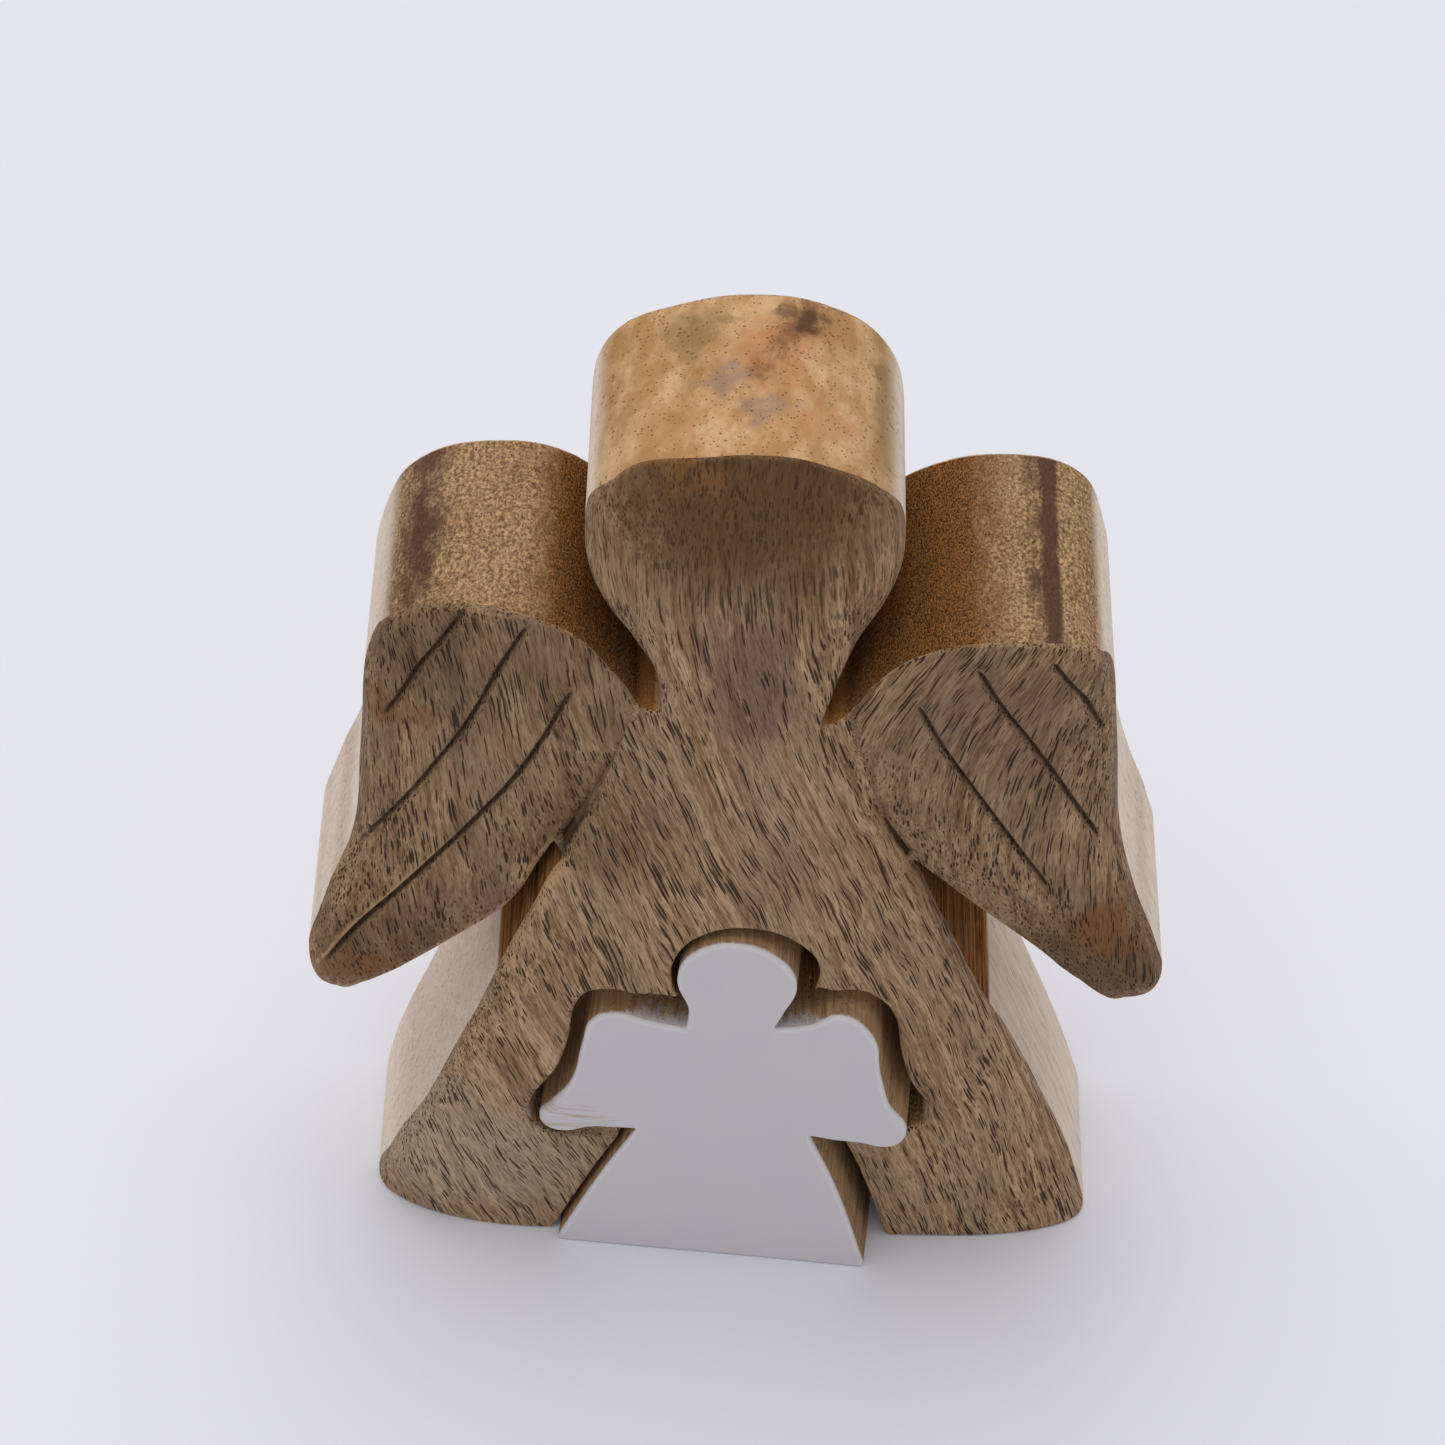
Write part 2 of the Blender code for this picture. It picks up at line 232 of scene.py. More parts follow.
# %% Smooth the line between its corners
CORNER_TURN = math.radians(38.0)
SHORTEST_SIDE = 0.15
BIG_SPACING = 0.55
SMALL_SPACING = 0.45


def curve_between(start, leave, end, arrive, spacing, reach):
    """Points a spacing apart on a smooth curve over a reach, with a slope at each end."""
    count = max(int(round(reach / spacing)), 1)
    part = (np.arange(count) / count)[:, None]
    return ((2 * part ** 3 - 3 * part ** 2 + 1) * start
            + (part ** 3 - 2 * part ** 2 + part) * leave
            + (3 * part ** 2 - 2 * part ** 3) * end
            + (part ** 3 - part ** 2) * arrive)


def smooth_loop(points, spacing):
    """A closed line through the points, evenly stepped, that bends smoothly except at corners."""
    steps = np.linalg.norm(points - np.roll(points, 1, axis=0), axis=1)
    points = points[steps > SHORTEST_SIDE]
    before = points - np.roll(points, 1, axis=0)
    after = np.roll(points, -1, axis=0) - points
    length_before = np.linalg.norm(before, axis=1)
    length_after = np.linalg.norm(after, axis=1)
    cosine = np.sum(before * after, axis=1) / (length_before * length_after)
    corner = np.arccos(np.clip(cosine, -1.0, 1.0)) > CORNER_TURN
    slope_before = before / length_before[:, None]
    slope_after = after / length_after[:, None]
    share = (length_before / (length_before + length_after))[:, None]
    slope = slope_before * (1.0 - share) + slope_after * share
    made = []
    for index in range(len(points)):
        onward = (index + 1) % len(points)
        reach = length_after[index]
        leave = slope_after[index] if corner[index] else slope[index]
        arrive = slope_after[index] if corner[onward] else slope[onward]
        made.append(curve_between(points[index], leave * reach, points[onward], arrive * reach,
                                  spacing, reach))
    line = np.concatenate(made)
    for _ in range(2):
        line = 0.25 * np.roll(line, 1, axis=0) + 0.5 * line + 0.25 * np.roll(line, -1, axis=0)
    return line


big_line = smooth_loop(big_edge, BIG_SPACING)
small_line = smooth_loop(small_edge, SMALL_SPACING)
print("smooth lines:", len(big_line), "and", len(small_line), "points")

# %% [markdown]
# ## The front's shape
# The front is a height field: for each (x, z) it gives how far forward the wood reaches. It adds
# up what the maker did, in order. The plank's face was crowned. The sides were rounded over, a
# lot at the feet, the outer wings and the sides of the head. The body was cut back beside each
# wing, so that the wings stand proud. The feathers were gouged, and every edge was broken with
# sandpaper. Writing it as a formula keeps each of these a number that can be changed.

# %% The crowned face in numbers
BACK = cad_box[1][1] / MM
BOTTOM_CROWN = -11.0
CROWN_RISE = 2.5
CHEST_HEIGHT = 75.0
SIDEWAYS_TILT = 0.045

# How the sides were rounded over, as (height, left fall, left width, right fall, right width).
SKIRT_ROUND_OVER = [
    (0.0, 8.6, 24.0, 5.4, 18.0),
    (12.0, 5.0, 16.0, 7.5, 14.0),
    (30.0, 2.2, 10.0, 7.0, 12.0),
    (58.0, 2.6, 10.0, 5.0, 12.0),
    (80.0, 0.8, 10.0, 4.8, 12.0),
]
WING_ROUND_OVER = [
    (50.0, 3.0, 9.0, 4.0, 9.0),
    (84.0, 5.0, 17.0, 6.0, 12.0),
    (112.0, 5.5, 17.0, 8.2, 11.0),
    (121.0, 3.2, 14.0, 3.6, 9.0),
    (126.0, 1.2, 10.0, 0.0, 9.0),
]
UNDER_TIP_HEIGHT = 45.0
OVER_TIP_HEIGHT = 52.0
WING_TIP_INSIDE = 42.0
ARMPIT_HEIGHT = 84.0
TILT_START, TILT_END = 40.0, 100.0
NOTCH_FLOOR = 107.0
NOTCH_HEIGHT = 110.0
NOTCH_MIDDLE = 10.85
NOTCH_LEAN = 0.55
HEAD_HEIGHT = 126.0
HEAD_STEP = 0.6
HEAD_FALL = 7.4
HEAD_WIDTH = 9.0
HEAD_TOP_FALL = 2.6
HEAD_LEFT_TOP_FALL = 2.2
HEAD_LEFT_START, HEAD_LEFT_END = 3.0, 13.0
HEAD_MIDDLE = 132.0
HEAD_RADIUS = 18.3

# Each wing's inner edge: down its root to the armpit (the first points), then out along its
# underside to the tip.
WING_EDGES = {
    "left": [(-12.9, 109.5), (-15.2, 99.9), (-19.8, 87.2), (-22.0, 81.4), (-28.8, 68.6),
             (-38.0, 59.6), (-47.0, 52.4), (-52.8, 50.9)],
    "right": [(13.2, 110.0), (15.0, 101.0), (18.0, 88.0), (21.8, 79.2), (30.6, 70.1),
              (39.4, 60.6), (47.0, 52.2), (52.0, 51.2)],
}
ROOT_PIECES = 3
EDGE_FALL = {"left": (3.4, 0.8), "right": (4.7, 4.8)}
EDGE_REACH = 19.0
ROOT_REACH = 12.0
print("round-over bands:", len(SKIRT_ROUND_OVER), "on the skirt,", len(WING_ROUND_OVER),
      "on the wings")


# %% Measure where a place lies
LEVEL_NUDGE = 0.01
ON_LINE = 0.02
AT_ONCE = 1500
AT_ONCE_ON_SHORT_LINES = 4000


def smooth_step(value, start, end):
    """0 below start, 1 above end, and an even S between them."""
    part = np.clip((value - start) / (end - start), 0.0, 1.0)
    return part * part * (3.0 - 2.0 * part)


def crossings(line, level):
    """Which sides of a closed line cross each level, and the x where they do."""
    start, end = line, np.roll(line, -1, axis=0)
    crosses = (start[:, 1] > level) != (end[:, 1] > level)
    rise = np.where(crosses, end[:, 1] - start[:, 1], 1.0)
    return crosses, start[:, 0] + (end[:, 0] - start[:, 0]) * (level - start[:, 1]) / rise


def sides_ahead(places, line):
    """For each (x, z): how far outward to the side, and whether a slot and more wood follow it."""
    gap = np.full(len(places), np.inf)
    slot = np.zeros(len(places), bool)
    for shift in (-LEVEL_NUDGE, LEVEL_NUDGE):
        todo = np.flatnonzero(~np.isfinite(gap))
        for part in np.array_split(todo, max(len(todo) // AT_ONCE, 1)):
            x, level = places[part, 0][:, None], places[part, 1][:, None] + shift
            crosses, crossing = crossings(line, level)
            reach = (crossing - x) * np.where(x >= 0.0, 1.0, -1.0)
            reach = np.where(crosses & (reach > -ON_LINE), np.maximum(reach, 0.0), np.inf)
            count = np.isfinite(reach).sum(axis=1)
            nearest = np.sort(np.partition(reach, 3, axis=1)[:, :4], axis=1)
            starts_wood = (count % 2 == 0) & (count > 0)
            gap[part] = np.where(starts_wood, nearest[:, 1], nearest[:, 0])
            slot[part] = count - starts_wood > 1
    return np.where(np.isfinite(gap), gap, 0.0), slot


def measure_line(places, line):
    """Signed distance of each place from a line (positive on its left), and how far along it is."""
    distances, alongs = [], []
    for part in np.array_split(places, max(len(places) // AT_ONCE_ON_SHORT_LINES, 1)):
        start, step = line[:-1], np.diff(line, axis=0)
        offset = part[:, None, :] - start[None, :, :]
        share = np.clip(np.sum(offset * step, axis=2) / np.sum(step * step, axis=1), 0.0, 1.0)
        miss = offset - share[:, :, None] * step
        distance = np.linalg.norm(miss, axis=2)
        nearest = np.argmin(distance, axis=1)
        rows = np.arange(len(part))
        side = step[nearest, 0] * miss[rows, nearest, 1] - step[nearest, 1] * miss[rows, nearest, 0]
        distances.append(distance[rows, nearest] * np.where(side >= 0.0, 1.0, -1.0))
        alongs.append(nearest + share[rows, nearest])
    return np.concatenate(distances), np.concatenate(alongs)


middle_gap, _ = sides_ahead(np.array([(0.0, CHEST_HEIGHT)]), big_line)
print("wood to the side of the chest's middle:", round(float(middle_gap[0]), 1), "mm")


# %% Round over the sides
def round_over(gap, fall, width):
    """A quarter ellipse: full fall at the side, none at width or further in."""
    inward = np.clip(1.0 - gap / width, 0.0, 1.0)
    return fall * (1.0 - np.sqrt(np.maximum(1.0 - inward * inward, 0.0)))


def band_values(bands, x, z):
    """The round-over's fall and width at each height, on the side that x is on."""
    column = np.where(x < 0.0, 1, 3)
    table = np.array(bands)
    height = np.clip(z, table[0, 0], table[-1, 0])
    lower = np.clip(np.searchsorted(table[:, 0], height, side="right") - 1, 0, len(table) - 2)
    share = smooth_step(height, table[lower, 0], table[lower + 1, 0])
    return [table[lower, column + part] * (1.0 - share)
            + table[lower + 1, column + part] * share for part in (0, 1)]


print("fall half way in:", round(float(round_over(0.5, 1.0, 1.0)), 2), "of the full fall")


# %% Parts of the figure
def regions(places, slot):
    """True masks for the head, the skirt below the armpits, and each wing."""
    x, z = places[:, 0], places[:, 1]
    head = (z > HEAD_HEIGHT) | ((z > NOTCH_FLOOR)
                                & (np.abs(x) < NOTCH_MIDDLE + NOTCH_LEAN * (z - NOTCH_HEIGHT)))
    skirt = ((z < UNDER_TIP_HEIGHT) | ((z < OVER_TIP_HEIGHT) & (np.abs(x) < WING_TIP_INSIDE))
             | ((z < ARMPIT_HEIGHT) & slot))
    wings = {}
    for name, points in WING_EDGES.items():
        distance, _ = measure_line(places, np.array(points))
        beyond = distance < 0.0 if name == "left" else distance > 0.0
        beyond |= z < points[ROOT_PIECES][1]
        this_side = x < 0.0 if name == "left" else x > 0.0
        wings[name] = beyond & this_side & ~head & ~skirt
    return head, skirt, wings


def wing_edge_falls(places, wings):
    """How far a wing's face, or the body's beside its root, falls back towards the wing's edge."""
    fall = np.zeros(len(places))
    for name, points in WING_EDGES.items():
        distance, along = measure_line(places, np.array(points))
        this_side = places[:, 0] < 0.0 if name == "left" else places[:, 0] >= 0.0
        wing_fall, body_fall = EDGE_FALL[name]
        strength = smooth_step(along, 0.0, ROOT_PIECES)
        on_wing = wing_fall * np.maximum(1.0 - np.abs(distance) / EDGE_REACH, 0.0) ** 2
        on_body = round_over(np.abs(distance), body_fall, ROOT_REACH)
        fall += np.where(this_side, strength * np.where(wings[name], on_wing, on_body), 0.0)
    return fall


_, slot_beside = sides_ahead(big_line, big_line)
_, _, wing_points = regions(big_line, slot_beside)
print("saw-line points on the wings:", [int(points.sum()) for points in wing_points.values()])


# %% The crowned face
def crowned_face(places, line):
    """The big angel's front after crowning and rounding over, before any carving, as y in mm."""
    x, z = places[:, 0], places[:, 1]
    gap, slot = sides_ahead(places, line)
    head, skirt, wings = regions(places, slot)
    rise = CROWN_RISE * np.sin(math.pi * np.minimum(z, NOTCH_HEIGHT) / (2.0 * CHEST_HEIGHT))
    tilt = SIDEWAYS_TILT * x * smooth_step(z, TILT_START, TILT_END)
    grip = np.where(head, smooth_step(z, NOTCH_HEIGHT, HEAD_HEIGHT), 0.0)
    above = np.where(head, smooth_step(z, HEAD_MIDDLE, HEAD_MIDDLE + HEAD_RADIUS), 0.0)
    head_fall = (HEAD_FALL * (1.0 - above) + HEAD_TOP_FALL * above) * grip
    left = smooth_step(-x, HEAD_LEFT_START, HEAD_LEFT_END)
    top_fall = (HEAD_TOP_FALL + HEAD_LEFT_TOP_FALL * left) * above
    over_head = np.maximum(round_over(gap, head_fall, HEAD_WIDTH), top_fall)
    over_skirt = round_over(gap, *band_values(SKIRT_ROUND_OVER, x, z))
    over_wing = np.hypot(round_over(gap, *band_values(WING_ROUND_OVER, x, z)),
                         wing_edge_falls(places, wings))
    over = np.where(head, over_head, np.where(skirt, over_skirt, over_wing))
    return BOTTOM_CROWN - rise - tilt * (1.0 - grip) + HEAD_STEP * grip + over


chest_thickness = -BOTTOM_CROWN + CROWN_RISE + BACK
print("the crowned face stands", round(chest_thickness, 1), "mm thick at the chest")

# %% [markdown]
# ## Feathers and wing roots
# Each wing has three gouged grooves. They fan out from its top and run down and outward, a bit
# bent, as one push of a gouge leaves them. A groove is a line of a few points with a V profile.
# Where a wing meets the body there is a step instead: the body side was pared away, deepest at
# the armpit, and the cut fades out towards the neck.

# %% The carved lines
FEATHERS = {
    "left_short": [(-31.9, 125.3), (-35.3, 119.0), (-37.9, 114.0), (-40.6, 108.0), (-42.9, 103.4)],
    "left_middle": [(-24.6, 124.2), (-28.3, 116.0), (-31.6, 107.6), (-36.0, 98.8), (-40.6, 90.3),
                    (-47.2, 79.2)],
    "left_long": [(-20.0, 112.8), (-23.9, 102.6), (-27.6, 95.2), (-31.8, 88.6), (-36.6, 81.6),
                  (-42.0, 74.0), (-47.3, 67.0), (-52.6, 58.4)],
    "right_short": [(35.9, 121.6), (38.2, 117.4), (40.4, 113.0), (43.4, 105.6)],
    "right_middle": [(27.2, 120.4), (30.4, 113.8), (34.6, 107.0), (38.6, 99.6), (44.2, 88.0)],
    "right_long": [(20.6, 113.4), (24.2, 105.4), (28.2, 98.3), (32.4, 91.0), (38.6, 80.0)],
}
GROOVE_WIDTH = 1.25
GROOVE_DEPTH = 0.95
WING_ROOTS = {
    "left": [(-12.6, 110.5), (-13.9, 105.0), (-15.2, 99.9), (-17.0, 93.8), (-19.6, 87.4),
             (-22.0, 81.4)],
    "right": [(13.2, 111.4), (14.8, 106.0), (15.0, 100.6), (15.9, 94.6), (18.0, 88.0),
              (21.8, 79.2)],
}
ROOT_LIP = 0.8


def gentle_line(points, spacing=0.45):
    """An open smooth line through a few points, evenly stepped."""
    points = np.array(points, float)
    slopes = np.gradient(points, axis=0)
    reaches = np.linalg.norm(np.diff(points, axis=0), axis=1)
    made = [curve_between(points[index], slopes[index], points[index + 1], slopes[index + 1],
                          spacing, reach) for index, reach in enumerate(reaches)]
    return np.concatenate([*made, points[-1:]])


feather_lines = {name: gentle_line(points) for name, points in FEATHERS.items()}
root_lines = {name: gentle_line(points) for name, points in WING_ROOTS.items()}
print("carved lines:", ", ".join([*feather_lines, *(name + "_root" for name in root_lines)]))


# %% How deep the carving goes
START_FADE, END_FADE = 0.06, 0.10
ROOT_FADE_START, ROOT_FADE_END = 0.15, 0.9
WAVER_DEPTHS = (0.10, 0.08)


def feather_cut(places):
    """Depth in mm that the gouge took out at each place: a V that runs out at its ends."""
    deepest = np.zeros(len(places))
    for line in feather_lines.values():
        distance, along = measure_line(places, line)
        along = along / (len(line) - 1)
        wall = np.clip(1.0 - 2.0 * np.abs(distance) / GROOVE_WIDTH, 0.0, 1.0)
        ends = smooth_step(along, -0.02, START_FADE) * smooth_step(1.0 - along, -0.02, END_FADE)
        deepest = np.maximum(deepest, GROOVE_DEPTH * ends * wall)
    return deepest


def root_cut(places):
    """Depth in mm of the knife line between each wing and the body, deepest at the armpit."""
    total = np.zeros(len(places))
    for line in root_lines.values():
        distance, along = measure_line(places, line)
        along = along / (len(line) - 1)
        lip = np.clip(1.0 - np.abs(distance) / ROOT_LIP, 0.0, 1.0)
        total += ROOT_LIP * smooth_step(along, ROOT_FADE_START, ROOT_FADE_END) * lip
    return total


def hand_waver(places):
    """The slow unevenness that hand sanding leaves, a fraction of a millimetre."""
    x, z = places[:, 0], places[:, 1]
    return (WAVER_DEPTHS[0] * np.sin(x / 4.7 + 0.8 * np.sin(z / 9.0)) * np.sin(z / 7.1 + 0.4)
            + WAVER_DEPTHS[1] * np.sin(x / 7.9 - z / 6.3 + 1.7))


sample = np.array([feather_lines["left_middle"][len(feather_lines["left_middle"]) // 2]])
print("groove depth half way:", round(float(feather_cut(sample)[0]), 2), "mm")

# %% [markdown]
# ## From lines to a skin
# A carved front needs a fine net of triangles. A plain grid would chew the edges, so the net is
# built from three sets of points: rings that follow the outline a fraction of a millimetre
# apart, which carry the rounded edge; lines beside each groove; and a loose honeycomb for the
# rest. Blender's Delaunay tool joins them, and the sides are columns that run from each edge
# point straight to the back, as the saw blade did.

# %% The skin's building blocks
ROW_SPACING = 0.866


def inward_of(line):
    """Unit vectors that point from an anticlockwise line into the wood."""
    along = np.roll(line, -1, axis=0) - np.roll(line, 1, axis=0)
    along /= np.linalg.norm(along, axis=1)[:, None]
    return np.stack([-along[:, 1], along[:, 0]], axis=1)


def tree_of(points):
    """A search tree over (x, z) points."""
    tree = KDTree(len(points))
    for index, (x, z) in enumerate(points):
        tree.insert((x, z, 0.0), index)
    tree.balance()
    return tree


def gaps_to(tree, places):
    """Distance from each place to the nearest point in the tree, and that point's number."""
    found = [tree.find((x, z, 0.0)) for x, z in places]
    return np.array([hit[2] for hit in found]), np.array([hit[1] for hit in found])


def inside(places, line):
    """True where a place lies inside a closed line."""
    result = np.zeros(len(places), bool)
    for part in np.array_split(np.arange(len(places)), max(len(places) // AT_ONCE, 1)):
        x, z = places[part, 0][:, None], places[part, 1][:, None]
        crosses, crossing = crossings(line, z)
        result[part] = (crosses & (crossing > x)).sum(axis=1) % 2 == 1
    return result


def honeycomb(line, spacing):
    """Evenly spread points over the outline's box."""
    low, high = line.min(axis=0), line.max(axis=0)
    rows = np.arange(low[1], high[1], spacing * ROW_SPACING)
    points = []
    for number, z in enumerate(rows):
        x = np.arange(low[0] + (number % 2) * spacing / 2.0, high[0], spacing)
        points.append(np.stack([x, np.full(len(x), z)], axis=1))
    return np.concatenate(points)


saw_length = np.linalg.norm(big_line - np.roll(big_line, 1, axis=0), axis=1).sum()
print("the saw went", round(float(saw_length)), "mm round the big angel")


# %% Fill a saw line with a net
EDGE_RINGS = (0.10, 0.24, 0.42, 0.66, 0.98, 1.40, 1.95)
RING_ROOM = 0.96
GROOVE_LINES = (-0.63, -0.34, -0.12, 0.0, 0.12, 0.34, 0.63)
CLEAR_OF_RINGS = 2.05
CLEAR_OF_GROOVES = 0.85
CLEAR_OF_EDGE = 0.45
SAME_POINT = 1e-7


def face_net(line, spacing, carved=()):
    """Points and triangles that fill a saw line, fine along its edge and along carved lines."""
    tree = tree_of(line)
    inward = inward_of(line)
    groups = [line]
    for ring in EDGE_RINGS:
        candidates = line + inward * ring
        gap, _ = gaps_to(tree, candidates)
        keep = (gap > ring * RING_ROOM) & inside(candidates, line)
        groups.append(candidates[keep])
    for carved_line in carved:
        along = np.gradient(carved_line, axis=0)
        along /= np.linalg.norm(along, axis=1)[:, None]
        across = np.stack([-along[:, 1], along[:, 0]], axis=1)
        for offset in GROOVE_LINES:
            candidates = carved_line + across * offset
            gap, _ = gaps_to(tree, candidates)
            groups.append(candidates[inside(candidates, line) & (gap > CLEAR_OF_RINGS)])
    filling = honeycomb(line, spacing)
    gap, _ = gaps_to(tree, filling)
    keep = inside(filling, line) & (gap > EDGE_RINGS[-1] + spacing * CLEAR_OF_EDGE)
    for carved_line in carved:
        distance, _ = measure_line(filling, carved_line)
        keep &= np.abs(distance) > CLEAR_OF_GROOVES
    groups.append(filling[keep])
    points = np.concatenate(groups)
    edges = [(index, (index + 1) % len(line)) for index in range(len(line))]
    net = delaunay_2d_cdt([Vector(point) for point in points], edges, [list(range(len(line)))],
                          1, SAME_POINT)
    return np.array(net[0]), np.array(net[2]), net[3]


print("edge rings at", EDGE_RINGS, "mm")


# %% Edges and sides of a skin
REAR_EDGE = 0.45
STEP_PUSH, FUZZ_PUSH = 0.07, 0.05
EDGE_ROOM = 8.0
RAW_ABOVE = 0.5
FRONT, SIDES, REAR, RAW_SIDES = range(4)


def broken_edge(gap, radius):
    """How far a rounded edge of some radius falls back at a distance from the saw line."""
    inward = np.clip(radius - gap, 0.0, None)
    return radius - np.sqrt(np.maximum(radius ** 2 - inward ** 2, 0.0))


def rim_of(sources, count):
    """The number of the net's point that stands for each of the saw line's points."""
    rim = np.full(count, -1)
    for index, origins in enumerate(sources):
        for origin in origins:
            if origin < count:
                rim[origin] = index
    return rim


def upright(points, y):
    """Points in space from (x, z) points and their y, never below the floor."""
    return np.stack([points[:, 0], y, np.maximum(points[:, 1], 0.0)], axis=1)


def sawn_columns(line, front_y, rear_y, rough, deepest, side_step, seed):
    """Rows of points down the sides, pushed in and out a little where the saw left them rough."""
    outward = -inward_of(line)
    chance = np.random.default_rng(seed)
    saw_step = chance.normal(0.0, 1.0, len(line))
    saw_step = (saw_step + np.roll(saw_step, 1)) / 2.0
    rows = max(int(round(deepest / side_step)), 4)
    shares = np.linspace(0.0, 1.0, rows + 1)[1:-1]
    columns = []
    for share in shares:
        hold = min(min(share, 1.0 - share) * EDGE_ROOM, 1.0)
        fuzz = chance.normal(0.0, 1.0, len(line))
        push = rough * hold * (STEP_PUSH * saw_step + FUZZ_PUSH * fuzz)
        columns.append(upright(line + outward * push[:, None],
                               front_y * (1.0 - share) + rear_y * share))
    return columns, shares


print("raw sides above a roughness of", RAW_ABOVE)


# %% Put a skin on a saw line
def sawn_skin(name, line, front_of, back, radius_of, side_step, roughness_of, marks,
              carved=(), spacing=0.85, back_spacing=2.2, seed=1):
    """A closed mesh: a shaped front, straight sawn sides and a flat back, all edges broken.

    front_of gives y for (x, z) places and radius_of an edge radius for points of the saw line.
    roughness_of gives how rough the saw left each point of the line, from 0 to 1. marks are
    functions of (x, z) that are kept on the skin's points for the finishes to read.
    """
    tree = tree_of(line)
    radius = radius_of(line)
    front, front_faces, front_source = face_net(line, spacing, carved)
    gap, nearest = gaps_to(tree, front)
    front_y = front_of(front) + broken_edge(gap, radius[nearest])
    rim = rim_of(front_source, len(line))
    rear, rear_faces, rear_source = face_net(line, back_spacing)
    rear_gap, _ = gaps_to(tree, rear)
    rear_y = back - broken_edge(rear_gap, REAR_EDGE)
    rear_rim = rim_of(rear_source, len(line))
    rough = roughness_of(line)
    depth = back - front_y[rim]
    columns, shares = sawn_columns(line, front_y[rim], rear_y[rear_rim], rough, depth.max(),
                                   side_step, seed)
    points = np.concatenate([upright(front, front_y), upright(rear, rear_y), *columns])
    rear_start = len(front)
    column_start = rear_start + len(rear)
    rings = [rim] + [column_start + number * len(line) + np.arange(len(line))
                     for number in range(len(shares))] + [rear_start + rear_rim]
    faces = [tuple(face) for face in front_faces]
    faces += [tuple(rear_start + corner for corner in reversed(face)) for face in rear_faces]
    for near, far in zip(rings, rings[1:]):
        faces += list(zip(near.tolist(), far.tolist(), np.roll(far, -1).tolist(),
                          np.roll(near, -1).tolist()))
    mesh = bpy.data.meshes.new(name)
    mesh.from_pydata((points * MM).tolist(), [], faces)
    mesh.validate()
    mesh.shade_smooth()
    side_kind = np.tile(np.where(rough > RAW_ABOVE, RAW_SIDES, SIDES), len(rings) - 1)
    kind = np.concatenate([np.full(len(front_faces), FRONT), np.full(len(rear_faces), REAR),
                           side_kind])
    mesh.polygons.foreach_set("material_index", kind)
    sides = len(shares)
    rims = np.concatenate([rim, rear_start + rear_rim])
    kept = {"edge_gap": np.concatenate([gap, rear_gap, np.zeros(len(line) * sides)]),
            "from_front": np.concatenate([front_y * 0.0, rear_y * 0.0 + depth.mean(),
                                          *(share * depth for share in shares)])}
    kept["from_front"][rims] = np.concatenate([depth * 0.0, depth])
    facing_up = -inward_of(line)[:, 1]
    for title, values in (("sawn", rough), ("upward", facing_up)):
        kept[title] = np.concatenate([np.zeros(len(front) + len(rear)), np.tile(values, sides)])
        kept[title][rims] = np.tile(values, 2)
    for title, mark in marks.items():
        kept[title] = np.concatenate([mark(front), mark(rear), np.tile(mark(line), sides)])
    for title, values in kept.items():
        mesh.attributes.new(title, "FLOAT", "POINT").data.foreach_set("value", values)
    piece = bpy.data.objects.new(name, mesh)
    bpy.context.scene.collection.objects.link(piece)
    return piece


print("skin builder ready")

# %% [markdown]
# ## The big angel
# Its edges were broken by different amounts. The wing tops and the base are nearly crisp, the
# wings' lower edges and the skirt's sides are soft. The saw marks were sanded off every outer
# side that a sanding belt can reach. They stay rough in the two cuts beside the head, in the
# slots under the wings and in the pocket.

# %% Where the saw marks stay
FULL_PART = 0.45


def near_any(places, spots):
    """1 at the middle of any (x, z, reach) spot, easing to 0 at its reach."""
    strength = np.zeros(len(places))
    for x, z, reach in spots:
        distance = np.hypot(places[:, 0] - x, places[:, 1] - z)
        strength = np.maximum(strength, 1.0 - smooth_step(distance, FULL_PART * reach, reach))
    return strength


NOTCH_SPOTS = [(-12.0, 112.0, 22.0), (12.5, 112.0, 27.0)]
WING_TOP = 125.4
LEFT_RAW_FLOOR, RIGHT_RAW_FLOOR = 56.5, 47.5
SLOT_INSIDE, SLOT_OUTSIDE, SLOT_TOP = 20.5, 40.0, 84.0
SLOT_EASING = 0.8
POCKET_TOP, POCKET_BOTTOM = 72.0, 0.05
POCKET_HALF_WIDTH, POCKET_LIMIT, POCKET_LEAN = 30.0, 33.0, 0.36
SLOT_ROUGHNESS, POCKET_ROUGHNESS = 0.6, 0.7


def in_pocket(places):
    """True for points of the saw line that belong to the pocket's walls."""
    x, z = places[:, 0], places[:, 1]
    inside_skirt = np.abs(x) < np.minimum(POCKET_HALF_WIDTH, POCKET_LIMIT - POCKET_LEAN * z)
    return (z < POCKET_TOP) & (z > POCKET_BOTTOM) & inside_skirt


def scorched(places):
    """1 in the cuts beside the head, where the blade ran hot; the head itself was cleaned up."""
    wing_side = np.abs(places[:, 0]) > NOTCH_MIDDLE + NOTCH_LEAN * (places[:, 1] - NOTCH_HEIGHT)
    burnt_side = np.where(wing_side & (places[:, 1] < WING_TOP), 1.0, 0.0)
    return near_any(places, NOTCH_SPOTS) * burnt_side


def raw_slots(places):
    """1 in the slots under the wings, which no sanding belt could reach."""
    x, z = places[:, 0], places[:, 1]
    floor = np.where(x < 0.0, LEFT_RAW_FLOOR, RIGHT_RAW_FLOOR)
    between = (np.abs(x) > SLOT_INSIDE) & (np.abs(x) < SLOT_OUTSIDE) & (z < SLOT_TOP)
    between &= ~in_pocket(places)
    raw = smooth_step(z, floor - SLOT_EASING, floor + SLOT_EASING)
    return np.where(between, raw, 0.0)


